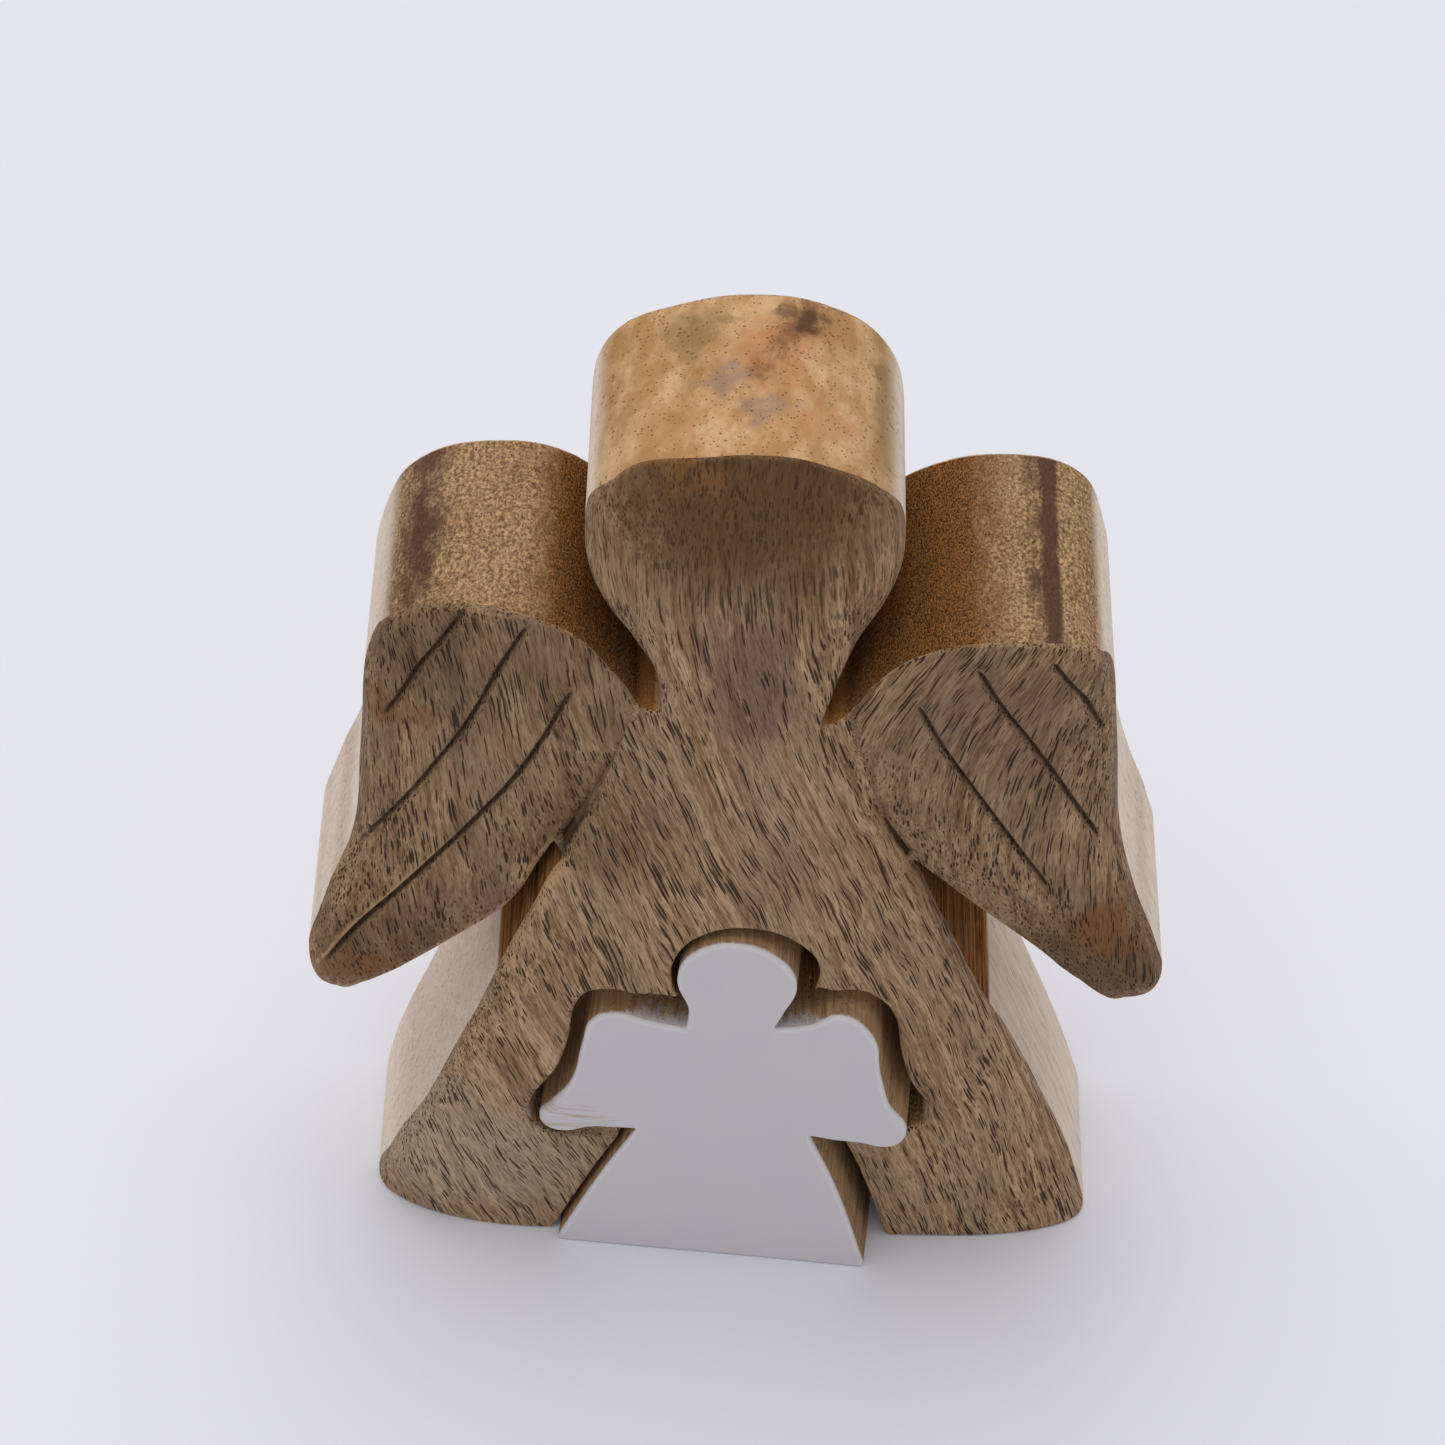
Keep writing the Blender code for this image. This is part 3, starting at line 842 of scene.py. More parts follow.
def big_roughness(line):
    """How rough the saw left the big angel's sides."""
    return np.maximum.reduce([scorched(line), SLOT_ROUGHNESS * raw_slots(line),
                              np.where(in_pocket(line), POCKET_ROUGHNESS, 0.0)])


print("roughest side point:", round(float(big_roughness(big_line).max()), 2))


# %% How the edges were broken
PLAIN_EDGE = 0.9
TOP_EDGE = 0.45
LEFT_UNDER_WING_EDGE, RIGHT_UNDER_WING_EDGE = 1.3, 0.55
OUTER_WING_EDGE = 1.6
SKIRT_EDGE = 1.5
POCKET_EDGE = 0.5
FACING_UP, FACING_DOWN = 0.45, -0.35
TOPS_ABOVE = 105.0
UNDERSIDES_BELOW = 90.0
OUTER_SIDES_ABOVE = 55.0
SKIRT_SIDES_OUTSIDE = 34.0
FOOT = 0.3
EASING = 9


def big_edge_radius(line):
    """The radius, in mm, that the front edge was broken to."""
    x, z = line[:, 0], line[:, 1]
    upward = -inward_of(line)[:, 1]
    faces_up, faces_down = upward > FACING_UP, upward < FACING_DOWN
    under_wing = np.where(x < 0.0, LEFT_UNDER_WING_EDGE, RIGHT_UNDER_WING_EDGE)
    radius = np.full(len(line), PLAIN_EDGE)
    wings_below = faces_down & (z > UNDER_TIP_HEIGHT) & (z < UNDERSIDES_BELOW)
    wings_beside = (np.abs(x) > WING_TIP_INSIDE) & (z > OUTER_SIDES_ABOVE)
    skirt_beside = (np.abs(x) > SKIRT_SIDES_OUTSIDE) & (z < UNDER_TIP_HEIGHT)
    for where, value in ((faces_up & (z > TOPS_ABOVE), TOP_EDGE), (wings_below, under_wing),
                         (wings_beside, OUTER_WING_EDGE), (skirt_beside, SKIRT_EDGE),
                         (in_pocket(line) | (z < FOOT), POCKET_EDGE)):
        radius = np.where(where, value, radius)
    beside = EASING // 2
    wrapped = np.concatenate([radius[-beside:], radius, radius[:beside]])
    return np.convolve(wrapped, np.ones(EASING) / EASING, mode="valid")


def big_front(places):
    """The big angel's finished front, as y in mm."""
    return (crowned_face(places, big_line) + feather_cut(places) + root_cut(places)
            + hand_waver(places))


radii = big_edge_radius(big_line)
print("edges broken to", round(float(radii.min()), 2), "to", round(float(radii.max()), 2), "mm")


# %% Marks of the grain
def grain_lean(places):
    """How far the grain has wandered sideways at each place, in mm."""
    x, z = places[:, 0], places[:, 1]
    _, slot = sides_ahead(places, big_line)
    _, _, wings = regions(places, slot)
    # The body's grain leans to one side and straightens towards the head. The left wing's runs
    # almost upright, and the right wing's bends away near its top.
    straightening = 8.0 * np.logaddexp(0.0, (z - 112.0) / 8.0)
    body = 0.33 * (z - 60.0) - 0.25 * straightening
    left = 0.12 * (z - 95.0)
    right = -0.45 * 6.0 * np.logaddexp(0.0, (z - 104.0) / 6.0) + 0.04 * (z - 80.0)
    waver = 1.0 * np.sin(z / 15.0 + x / 17.0) + 0.25 * np.sin(z / 6.3 - x / 6.1)
    return np.where(wings["left"], left, np.where(wings["right"], right, body)) + waver


def feathered(places):
    """1 on the two wings' fronts."""
    _, slot = sides_ahead(places, big_line)
    _, _, wings = regions(places, slot)
    return np.where(wings["left"] | wings["right"], 1.0, 0.0)


lean_at_chest = grain_lean(np.array([(0.0, CHEST_HEIGHT)]))
print("the grain has wandered", round(float(lean_at_chest[0]), 1), "mm at the chest")


# %% Marks of the gouge, wear and stains, with painted shade and highlight
WORN_SPOTS = [(-44.0, 57.0, 12.0), (-34.0, 66.0, 12.0), (-26.0, 78.0, 9.0)]
WING_STAINS = [(36.1, 0.8, 1.6), (34.2, 2.0, 0.6), (-38.0, 4.0, 0.75)]
MOST_STAIN = 1.6
STAIN_START, STAIN_END = 100.0, 118.0
WING_INSIDE = 12.0
SHADE_WIDTH = 0.45
LONG_GROOVE_SHADE = 0.12
LIT_WALL_OFFSET, LIT_WALL_WIDTH = 0.50, 0.38
BEVEL_OFFSET, BEVEL_WIDTH, BEVEL_SHARE = 1.7, 1.3, 0.35


def groove_shade(places):
    """1 along the shaded wall of every groove and at the bottom of every knife line."""
    strongest = (root_cut(places) / ROOT_LIP) ** 2
    for name, line in feather_lines.items():
        distance, along = measure_line(places, line)
        middle = LONG_GROOVE_SHADE if name == "left_long" else 0.0
        shaded = np.clip(1.0 - np.abs(distance - middle) / SHADE_WIDTH, 0.0, 1.0)
        ends = smooth_step(along, -0.5, 2.0) * smooth_step(len(line) - along, 0.5, 6.0)
        strongest = np.maximum(strongest, shaded * ends)
    return np.clip(strongest, 0.0, 1.0)


def lit_walls(places):
    """1 on the outer wall of the longest left groove, less on each wing root's bevel."""
    line = feather_lines["left_long"]
    distance, along = measure_line(places, line)
    lit = np.clip(1.0 - np.abs(distance + LIT_WALL_OFFSET) / LIT_WALL_WIDTH, 0.0, 1.0)
    strongest = lit * smooth_step(along, 0.35 * len(line), 0.7 * len(line))
    for name, line in root_lines.items():
        distance, along = measure_line(places, line)
        inward = -distance if name == "left" else distance
        bevel = np.clip(1.0 - np.abs(inward - BEVEL_OFFSET) / BEVEL_WIDTH, 0.0, 1.0)
        lit = BEVEL_SHARE * bevel * smooth_step(along, 8.0, 30.0)
        strongest = np.maximum(strongest, lit)
    return strongest


def worn_edges(places):
    """Where the front edge was rubbed pale: along the left wing's underside."""
    return near_any(places, WORN_SPOTS)


def stains(places):
    """Maroon stains through the plank: a streak and its halo in the right wing, a patch left."""
    x, z = places[:, 0], places[:, 1]
    total = np.zeros(len(places))
    for middle, width, strength in WING_STAINS:
        total += strength * np.exp(-((x - middle) / width) ** 2)
    total = np.clip(total, 0.0, MOST_STAIN) * smooth_step(z, STAIN_START, STAIN_END)
    return total * (z < HEAD_HEIGHT)


def on_wings(places):
    """1 on the wings' tops and sides."""
    outside = np.abs(places[:, 0]) > WING_INSIDE
    return np.where(outside & (places[:, 1] < WING_TOP), 1.0, 0.0)


def pocket_walls(places):
    """1 on the pocket's walls."""
    return np.where(in_pocket(places), 1.0, 0.0)


big_marks = {"lean": grain_lean, "scorch": scorched, "raw": raw_slots, "groove": groove_shade,
             "stain": stains, "lit_wall": lit_walls, "worn": worn_edges,
             "feathered": feathered, "wing": on_wings, "pocket": pocket_walls}
print("marks kept:", ", ".join(big_marks))


# %% Big angel
SIDE_STEP = 1.0
large_angel = sawn_skin("large_angel_carved", big_line, big_front, BACK, big_edge_radius,
                        SIDE_STEP, big_roughness, big_marks,
                        [*feather_lines.values(), *root_lines.values()])
print("big angel:", len(large_angel.data.vertices), "points,",
      len(large_angel.data.polygons), "faces")

# %% [markdown]
# ## The small angel
# It is a plain sawn blank with a flat front. The paint softened its edges a little. It stands
# turned in its pocket, so the skin is made square to its own axes first and then turned.

# %% Small angel
SMALL_THICK = 27.0
SMALL_ROUGHNESS = 0.45
SMALL_EDGE, SOFTER_TIPS = 0.55, 0.7
SMALL_TIPS = [(-22.0, 27.0, 9.0), (24.5, 29.5, 9.0)]
SMALL_NECKS = [(-5.5, 50.6, 7.0), (8.6, 52.2, 6.0)]
PAINT_RUBBED = [(-19.0, 28.5, 7.0)]
BRUSH_WAVER, BRUSH_LIFT = 0.35, 0.18


def small_front(places):
    """A flat front with the faint waver of a brushed coat."""
    return -SMALL_THICK / 2.0 + BRUSH_WAVER * (hand_waver(places) + BRUSH_LIFT)


def small_edge_radius(line):
    """Softer at the wing tips, where the sanding pad rocked over."""
    return SMALL_EDGE + SOFTER_TIPS * near_any(line, SMALL_TIPS)


def small_roughness(line):
    """How rough the saw left the small angel's sides: the same all round."""
    return np.full(len(line), SMALL_ROUGHNESS)


def near_necks(places):
    """1 beside the neck, where the brush left paint over the edge."""
    return near_any(places, SMALL_NECKS)


def rubbed_tip(places):
    """1 on the wing tip whose paint was rubbed thin."""
    return near_any(places, PAINT_RUBBED)


small_angel = sawn_skin("small_angel_painted", small_line, small_front, SMALL_THICK / 2.0,
                        small_edge_radius, SIDE_STEP, small_roughness,
                        {"necks": near_necks, "tips": rubbed_tip}, seed=2)
small_angel.data.transform(Matrix.Translation((SMALL_CENTRE[0] * MM, SMALL_CENTRE[1] * MM, 0.0))
                           @ Matrix.Rotation(SMALL_TURN, 4, "Z"))
print("small angel:", len(small_angel.data.vertices), "points")

# %% [markdown]
# ## Finishes
# The wood is one material in several states. Sanded along the grain it shows dark pores as short
# dashes, with soft streaks. On end grain the same pores are dots. Where the saw ran hot it is dark
# and fuzzy. A finish is a material of many nodes, and joining them by hand is long to write, so a
# small helper puts nodes down and wires them. Each finish reads the marks kept on the skin.

# %% A short way to wire nodes
class Wiring:
    """Puts nodes in a tree and joins them. A value can be a number or another node's output."""

    def __init__(self, tree):
        self.tree = tree

    def feed(self, socket, value):
        """Give a socket a number, or join an output to it."""
        if isinstance(value, bpy.types.NodeSocket):
            self.tree.links.new(value, socket)
        else:
            socket.default_value = value

    def put(self, kind, values=None, **settings):
        """Add a node of a kind."""
        node = self.tree.nodes.new(kind)
        for name, value in settings.items():
            setattr(node, name, value)
        for name, value in (values or {}).items():
            self.feed(node.inputs[name], value)
        return node

    def maths(self, operation, *values):
        """A Math node's answer."""
        node = self.put("ShaderNodeMath", operation=operation)
        for socket, value in zip(node.inputs, values):
            self.feed(socket, value)
        return node.outputs[0]

    def ramp(self, value, low, high, bottom=0.0, top=1.0):
        """bottom at low, top at high, and an S between them."""
        return self.put("ShaderNodeMapRange",
                        {"Value": value, "From Min": low, "From Max": high, "To Min": bottom,
                         "To Max": top}, interpolation_type="SMOOTHSTEP").outputs["Result"]

    def mix(self, share, first, second):
        """A colour between two others."""
        node = self.put("ShaderNodeMix", data_type="RGBA")
        for socket, value in zip((node.inputs[0], node.inputs[6], node.inputs[7]),
                                 (share, first, second)):
            self.feed(socket, value)
        return node.outputs[2]

    def scaled(self, place, sizes):
        """A place measured in units of the given sizes."""
        node = self.put("ShaderNodeVectorMath", operation="DIVIDE")
        self.feed(node.inputs[0], place)
        node.inputs[1].default_value = sizes
        return node.outputs[0]

    def noise(self, place, sizes, detail=3.0, rough=0.6):
        """Cloudy noise whose clouds have the given sizes."""
        return self.put("ShaderNodeTexNoise",
                        {"Vector": self.scaled(place, sizes), "Scale": 1.0, "Detail": detail,
                         "Roughness": rough}).outputs[0]

    def ragged(self, place, size, reach):
        """A place pushed about by noise, so that whatever is put there gets ragged edges."""
        clouds = self.put("ShaderNodeTexNoise", {"Vector": self.scaled(place, (size,) * 3),
                                                 "Scale": 1.0, "Detail": 3.0}).outputs["Color"]
        push = self.put("ShaderNodeVectorMath", operation="MULTIPLY_ADD")
        self.feed(push.inputs[0], clouds)
        push.inputs[1].default_value = (reach,) * 3
        self.feed(push.inputs[2], place)
        half = self.put("ShaderNodeVectorMath", operation="SUBTRACT")
        self.feed(half.inputs[0], push.outputs[0])
        half.inputs[1].default_value = (reach / 2.0,) * 3
        return half.outputs[0]

    def spot(self, place, centre, sizes):
        """1 at a centre, easing to 0 at the given distances from it."""
        node = self.put("ShaderNodeVectorMath", operation="DISTANCE")
        self.feed(node.inputs[0], self.scaled(place, sizes))
        node.inputs[1].default_value = [part / size for part, size in zip(centre, sizes)]
        return self.ramp(node.outputs["Value"], 1.0, 0.2)

    def mark(self, title):
        """A mark that the skin keeps."""
        return self.put("ShaderNodeAttribute", attribute_name=title).outputs["Fac"]

    def use(self, group, **values):
        """Add a node group; underscores in the names stand for spaces."""
        node = self.put("ShaderNodeGroup", node_tree=group)
        for name, value in values.items():
            self.feed(node.inputs[name.replace("_", " ")], value)
        return node.outputs


def new_group(title, inputs, outputs):
    """An empty node group with named sockets."""
    tree = bpy.data.node_groups.new(title, "ShaderNodeTree")
    for name, kind in inputs:
        tree.interface.new_socket(name, in_out="INPUT", socket_type="NodeSocket" + kind)
    for name in outputs:
        tree.interface.new_socket(name, in_out="OUTPUT", socket_type="NodeSocketFloat")
    wiring = Wiring(tree)
    return wiring, wiring.put("NodeGroupInput").outputs, wiring.put("NodeGroupOutput").inputs


print("wiring ready")

# %% [markdown]
# ## Effects that finishes share
# Grain, saw marks and edge bands turn up on several surfaces, so each is a node group with named
# sockets, built once and placed in a finish with its own values. An edge band is wear on the wood
# and a painted highlight on the paint. The pores are long thin bubbles inside the wood, made with a
# stretched Voronoi texture. A texture that fills space is cut by every surface in the right way:
# into dashes on the faces and dots on the end grain. An image wrapped round the figure couldn't do
# that.

# %% Shared effect: wood grain and pores
PORE_CELL = (0.38, 0.38, 8.0)
FINE_CELL = (0.30, 0.30, 4.0)
FIBRE_CELL = (0.26, 0.26, 2.0)
STREAK_CELL = (0.9, 1.1, 28.0)
PATCH_CELL = (7.0, 9.0, 30.0)
SMALLEST_PORE = 0.23
GRAIN_WANDER = 2.6


def grain_group():
    """Pores as long bubbles in the wood, with the streaks and patches of its grain."""
    wiring, given, result = new_group(
        "Wood grain and pores", [("Place", "Vector"), ("Lean", "Float"), ("Share", "Float")],
        ["Pores", "Fine pores", "Streaks", "Patches", "Fibres"])
    apart = wiring.put("ShaderNodeSeparateXYZ", {"Vector": given["Place"]}).outputs
    wobble = wiring.noise(given["Place"], (8.0, 8.0, 26.0), 2.0)
    sideways = wiring.maths("MULTIPLY_ADD", wobble, GRAIN_WANDER, given["Lean"])
    leaning = wiring.maths("ADD", apart["X"], sideways)
    along = wiring.put("ShaderNodeCombineXYZ", {
        "X": leaning, "Y": apart["Y"], "Z": apart["Z"]}).outputs[0]
    crowd = wiring.ramp(wiring.noise(along, (3.0, 3.0, 22.0), 2.0), 0.3, 0.7, 0.62, 1.15)
    for name, cell, largest in (("Pores", PORE_CELL, 0.47), ("Fine pores", FINE_CELL, 0.40)):
        bubbles = wiring.put("ShaderNodeTexVoronoi", {
            "Vector": wiring.scaled(along, cell), "Scale": 1.0, "Randomness": 0.95}).outputs
        chance = wiring.put("ShaderNodeSeparateColor", {"Color": bubbles["Color"]}).outputs
        size = wiring.maths("MULTIPLY", wiring.ramp(chance[0], 0.0, 1.0, SMALLEST_PORE, largest),
                            crowd)
        hole = wiring.ramp(bubbles["Distance"], size, wiring.maths("MULTIPLY", size, 0.75))
        there = wiring.maths("LESS_THAN", chance[1], given["Share"])
        wiring.feed(result[name], wiring.maths("MULTIPLY", hole, there))
    wiring.feed(result["Fibres"], wiring.noise(along, FIBRE_CELL, 2.0))
    wiring.feed(result["Streaks"], wiring.noise(along, STREAK_CELL, 5.0, 0.75))
    wiring.feed(result["Patches"], wiring.noise(along, PATCH_CELL, 3.0))
    return wiring.tree


GRAIN = grain_group()
print("group:", GRAIN.name)


# %% Shared effect: saw marks
SAW_LINE_CELL = (0.7, 16.0, 0.7)
FUZZ_CELL = (0.20, 0.36, 0.20)


def saw_group():
    """The lines a band saw leaves across the plank, and the fuzz between them."""
    wiring, given, result = new_group("Saw marks", [("Place", "Vector")], ["Lines", "Fuzz"])
    wiring.feed(result["Lines"], wiring.noise(given["Place"], SAW_LINE_CELL, 3.0, 0.7))
    wiring.feed(result["Fuzz"], wiring.noise(given["Place"], FUZZ_CELL, 3.0, 0.8))
    return wiring.tree


SAW = saw_group()
print("group:", SAW.name)


# %% Shared effect: edge wear and painted highlight
WEAR_CLOUD = (1.6, 1.6, 1.6)


def wear_and_highlight_group():
    """1 along an edge, fading out unevenly over a width in mm: wear on the wood, a painted
    highlight on the paint.
    """
    wiring, given, result = new_group(
        "Edge wear", [("Place", "Vector"), ("Gap", "Float"), ("Width", "Float")], ["Wear"])
    uneven = wiring.maths("SUBTRACT", wiring.noise(given["Place"], WEAR_CLOUD, 2.0), 0.5)
    gap = wiring.maths("MULTIPLY_ADD", uneven, given["Width"], given["Gap"])
    wiring.feed(result["Wear"], wiring.ramp(gap, given["Width"], 0.0))
    return wiring.tree


WEAR_AND_HIGHLIGHT = wear_and_highlight_group()
print("group:", WEAR_AND_HIGHLIGHT.name)


# %% Colours of the wood and the paint
STRAW = (0.59, 0.395, 0.232, 1.0)
BROWN = (0.27, 0.150, 0.074, 1.0)
ASHEN = (0.34, 0.235, 0.150, 1.0)
UMBER = (0.095, 0.045, 0.018, 1.0)
PLUM = (0.17, 0.090, 0.070, 1.0)
RUST = (0.25, 0.100, 0.035, 1.0)
DEEP_BROWN = (0.115, 0.056, 0.020, 1.0)
SANDED = (0.52, 0.41, 0.30, 1.0)
PORE = (0.028, 0.014, 0.007, 1.0)
DARK = (0.060, 0.032, 0.017, 1.0)
CREAM = (0.60, 0.375, 0.195, 1.0)
TAN = (0.40, 0.215, 0.085, 1.0)
MAROON = (0.075, 0.032, 0.022, 1.0)
OLIVE = (0.22, 0.140, 0.050, 1.0)
SIENNA = (0.44, 0.190, 0.080, 1.0)
MAUVE = (0.27, 0.170, 0.150, 1.0)
WEATHERED = (0.235, 0.150, 0.085, 1.0)
PALE = (0.89, 0.75, 0.62, 1.0)
BARE = (0.50, 0.33, 0.180, 1.0)
RAW = (0.36, 0.170, 0.060, 1.0)
CHARRED = (0.016, 0.006, 0.002, 1.0)
EMBER = (0.34, 0.145, 0.042, 1.0)
GLOWING = (0.52, 0.220, 0.060, 1.0)
WHITE = (0.655, 0.62, 0.645, 1.0)
HIGHLIGHT_WHITE = (0.80, 0.78, 0.77, 1.0)
print("bare wood:", BARE[:3], "paint:", WHITE[:3])

# %% How a finish starts
DRY_SHINE = 0.12
FRONT_DENT, SAWN_DENT, BACK_DENT = 0.07 * MM, 0.2 * MM, 0.05 * MM
PAINT_DENT, BARE_DENT = 0.02 * MM, 0.12 * MM


def new_finish(name, roughness):
    """A material with its wiring, its shader and the place on the piece in mm."""
    material = bpy.data.materials.new(name)
    material.use_nodes = True
    wiring = Wiring(material.node_tree)
    shader = material.node_tree.nodes["Principled BSDF"]
    shader.inputs["Roughness"].default_value = roughness
    shader.inputs["Specular IOR Level"].default_value = DRY_SHINE
    metres = wiring.put("ShaderNodeTexCoord").outputs["Object"]
    place = wiring.scaled(metres, (MM, MM, MM))
    return material, wiring, shader, place


def dent(wiring, shader, height, depth):
    """Tilt the surface by a height pattern that is depth metres deep."""
    bump = wiring.put("ShaderNodeBump", {"Height": height, "Strength": 1.0,
                                         "Distance": depth})
    wiring.feed(shader.inputs["Normal"], bump.outputs["Normal"])


def stained_and_shaded(wiring, place, tone, stains):
    """A tone with spots on it: stains, and on the front some painted shade. Each is given as its
    centre, sizes in mm, colour and strength.
    """
    for centre, sizes, colour, most in stains:
        spot = wiring.ramp(wiring.spot(place, centre, sizes), 0.0, 1.0, 0.0, most)
        tone = wiring.mix(spot, tone, colour)
    return tone


print("bare wood shines at", DRY_SHINE)

# %% [markdown]
# ## The sanded front
# Grey-brown wood full of dark pores. Straw and brown streaks give the grain, big soft clouds make
# it ashen, and the head is darker towards its top. The grooves and knife lines are painted dark as
# shade, and so is the left wing's lower part below its longest groove. Hands rubbed the left wing's
# lower edge pale. The wood is raw, so it is dull: a shine at a flat angle would turn it grey, which
# is why its specular level is low.

# %% Finish: the sanded front
RUBBED_FROM, RUBBED_TO = 120.0, 138.0
PORE_STRENGTH, RUBBED_STRENGTH = 0.88, 0.45
ANY_DEPTH = 99.0
FRONT_STAINS_AND_SHADE = [
    # The first spot makes the head's front darker towards its top.
    ((0.0, -10.0, 147.0), (28.0, ANY_DEPTH, 29.0), DEEP_BROWN, 0.88),
    ((-16.0, -13.0, 88.0), (14.0, ANY_DEPTH, 16.0), UMBER, 0.4),
    ((-36.0, -8.0, 18.0), (26.0, ANY_DEPTH, 24.0), SANDED, 0.45),
    ((-37.0, -12.0, 118.0), (17.0, ANY_DEPTH, 17.0), UMBER, 0.35),
    # Painted shade: the next two patches darken the left wing's lower part, between its longest
    # groove and its underside, which is cut back and lies in shade.
    ((-44.0, -12.0, 62.0), (16.0, ANY_DEPTH, 13.0), UMBER, 0.5),
    ((-35.0, -12.0, 70.0), (13.0, ANY_DEPTH, 8.0), PLUM, 0.4),
    ((45.0, -12.0, 64.0), (15.0, ANY_DEPTH, 20.0), UMBER, 0.65),
    ((1.0, -12.0, 115.0), (9.0, ANY_DEPTH, 19.0), PLUM, 0.65),
    ((31.0, -14.0, 110.0), (15.0, ANY_DEPTH, 14.0), PLUM, 0.35),
    ((6.0, -13.0, 80.0), (10.0, ANY_DEPTH, 12.0), PLUM, 0.3),
    ((45.5, -12.0, 70.0), (5.5, ANY_DEPTH, 9.0), RUST, 0.8),
    ((-48.0, -9.0, 57.5), (9.0, ANY_DEPTH, 6.0), RUST, 0.6),
    ((-41.0, -12.0, 105.0), (5.0, ANY_DEPTH, 4.0), RUST, 0.5),
    ((-6.5, -8.0, 147.5), (7.5, ANY_DEPTH, 5.0), EMBER, 0.45),
]


def carved_front():
    """Grey-brown side grain full of dark pores, with lighter worn edges and dark grooves."""
    material, wiring, shader, place = new_finish("sanded_front", 0.75)
    grain = wiring.use(GRAIN, Place=place, Lean=wiring.mark("lean"), Share=1.0)
    cloud = wiring.noise(place, (3.5, 3.5, 6.0), 4.0)
    tone = wiring.mix(wiring.ramp(grain["Streaks"], 0.36, 0.64), STRAW, BROWN)
    tone = wiring.mix(wiring.ramp(grain["Patches"], 0.40, 0.68, 0.0, 0.6), tone, ASHEN)
    tone = wiring.mix(wiring.maths("MULTIPLY", wiring.mark("feathered"),
                                   wiring.ramp(cloud, 0.3, 0.7, 0.15, 0.45)), tone, UMBER)
    tone = stained_and_shaded(wiring, wiring.ragged(place, 4.5, 9.0), tone, FRONT_STAINS_AND_SHADE)
    tone = wiring.mix(wiring.ramp(grain["Fibres"], 0.42, 0.70, 0.0, 0.5), tone, UMBER)
    wear_and_highlight = wiring.use(WEAR_AND_HIGHLIGHT, Place=place, Gap=wiring.mark("edge_gap"), Width=1.8)["Wear"]
    tone = wiring.mix(wiring.maths("MULTIPLY", wear_and_highlight, wiring.maths(
        "MULTIPLY", wiring.mark("worn"), 0.9)), tone, CREAM)
    tall = wiring.put("ShaderNodeSeparateXYZ", {"Vector": place}).outputs["Z"]
    clear = wiring.ramp(tall, RUBBED_FROM, RUBBED_TO, PORE_STRENGTH, RUBBED_STRENGTH)
    tone = wiring.mix(wiring.maths("MULTIPLY", grain["Fine pores"], 0.6), tone, DARK)
    tone = wiring.mix(wiring.maths("MULTIPLY", grain["Pores"], clear), tone, PORE)
    tone = wiring.mix(wiring.ramp(wiring.mark("lit_wall"), 0.1, 0.7, 0.0, 0.65), tone, CREAM)
    # Painted shade: the grooves' shaded walls and the knife lines' bottoms are darkened as shade.
    tone = wiring.mix(wiring.ramp(wiring.mark("groove"), 0.2, 0.8, 0.0, 0.75), tone, PORE)
    wiring.feed(shader.inputs["Base Color"], tone)
    height = wiring.maths("MULTIPLY_ADD", grain["Pores"], -1.0, grain["Streaks"])
    dent(wiring, shader, height, FRONT_DENT)
    return material


front_finish = carved_front()
print(front_finish.name, "has", len(front_finish.node_tree.nodes), "nodes")

# %% [markdown]
# ## The sides
# The saw cut them all in one pass, yet they look unlike each other. The flanks were sanded pale,
# and they are painted paler still as a painted sheen, for the shine that they catch at a flat
# angle.
# The tops are end grain: cream and tan clouds, maroon stains, and a grey weathering on the wings.
# The slots and the pocket were left as sawn. Beside the head the blade ran hot and left a burnt,
# fuzzy cut. One material holds all of them and lets the marks choose, and it is made twice, since
# the raw cuts have no shine at all.

# %% The end grain on top
HEAD_TOP_STAINS = [
    ((-6.3, 11.0, 147.0), (6.5, 7.0, 9.0), OLIVE, 0.65),
    ((2.5, 7.0, 149.0), (8.0, 9.0, 12.0), SIENNA, 0.7),
    ((-9.0, -3.0, 147.0), (7.0, 6.0, 12.0), SIENNA, 0.5),
    ((8.0, -3.0, 148.0), (7.0, 5.0, 12.0), SIENNA, 0.6),
    ((-2.5, 3.0, 149.0), (4.5, 4.0, 9.0), MAUVE, 0.6),
    ((2.0, -1.0, 149.0), (4.0, 3.5, 9.0), MAUVE, 0.5),
    ((6.0, 13.5, 149.0), (3.5, 4.5, 9.0), MAROON, 0.7),
    ((16.5, 6.0, 142.0), (4.0, 16.0, 9.0), OLIVE, 0.6),
]


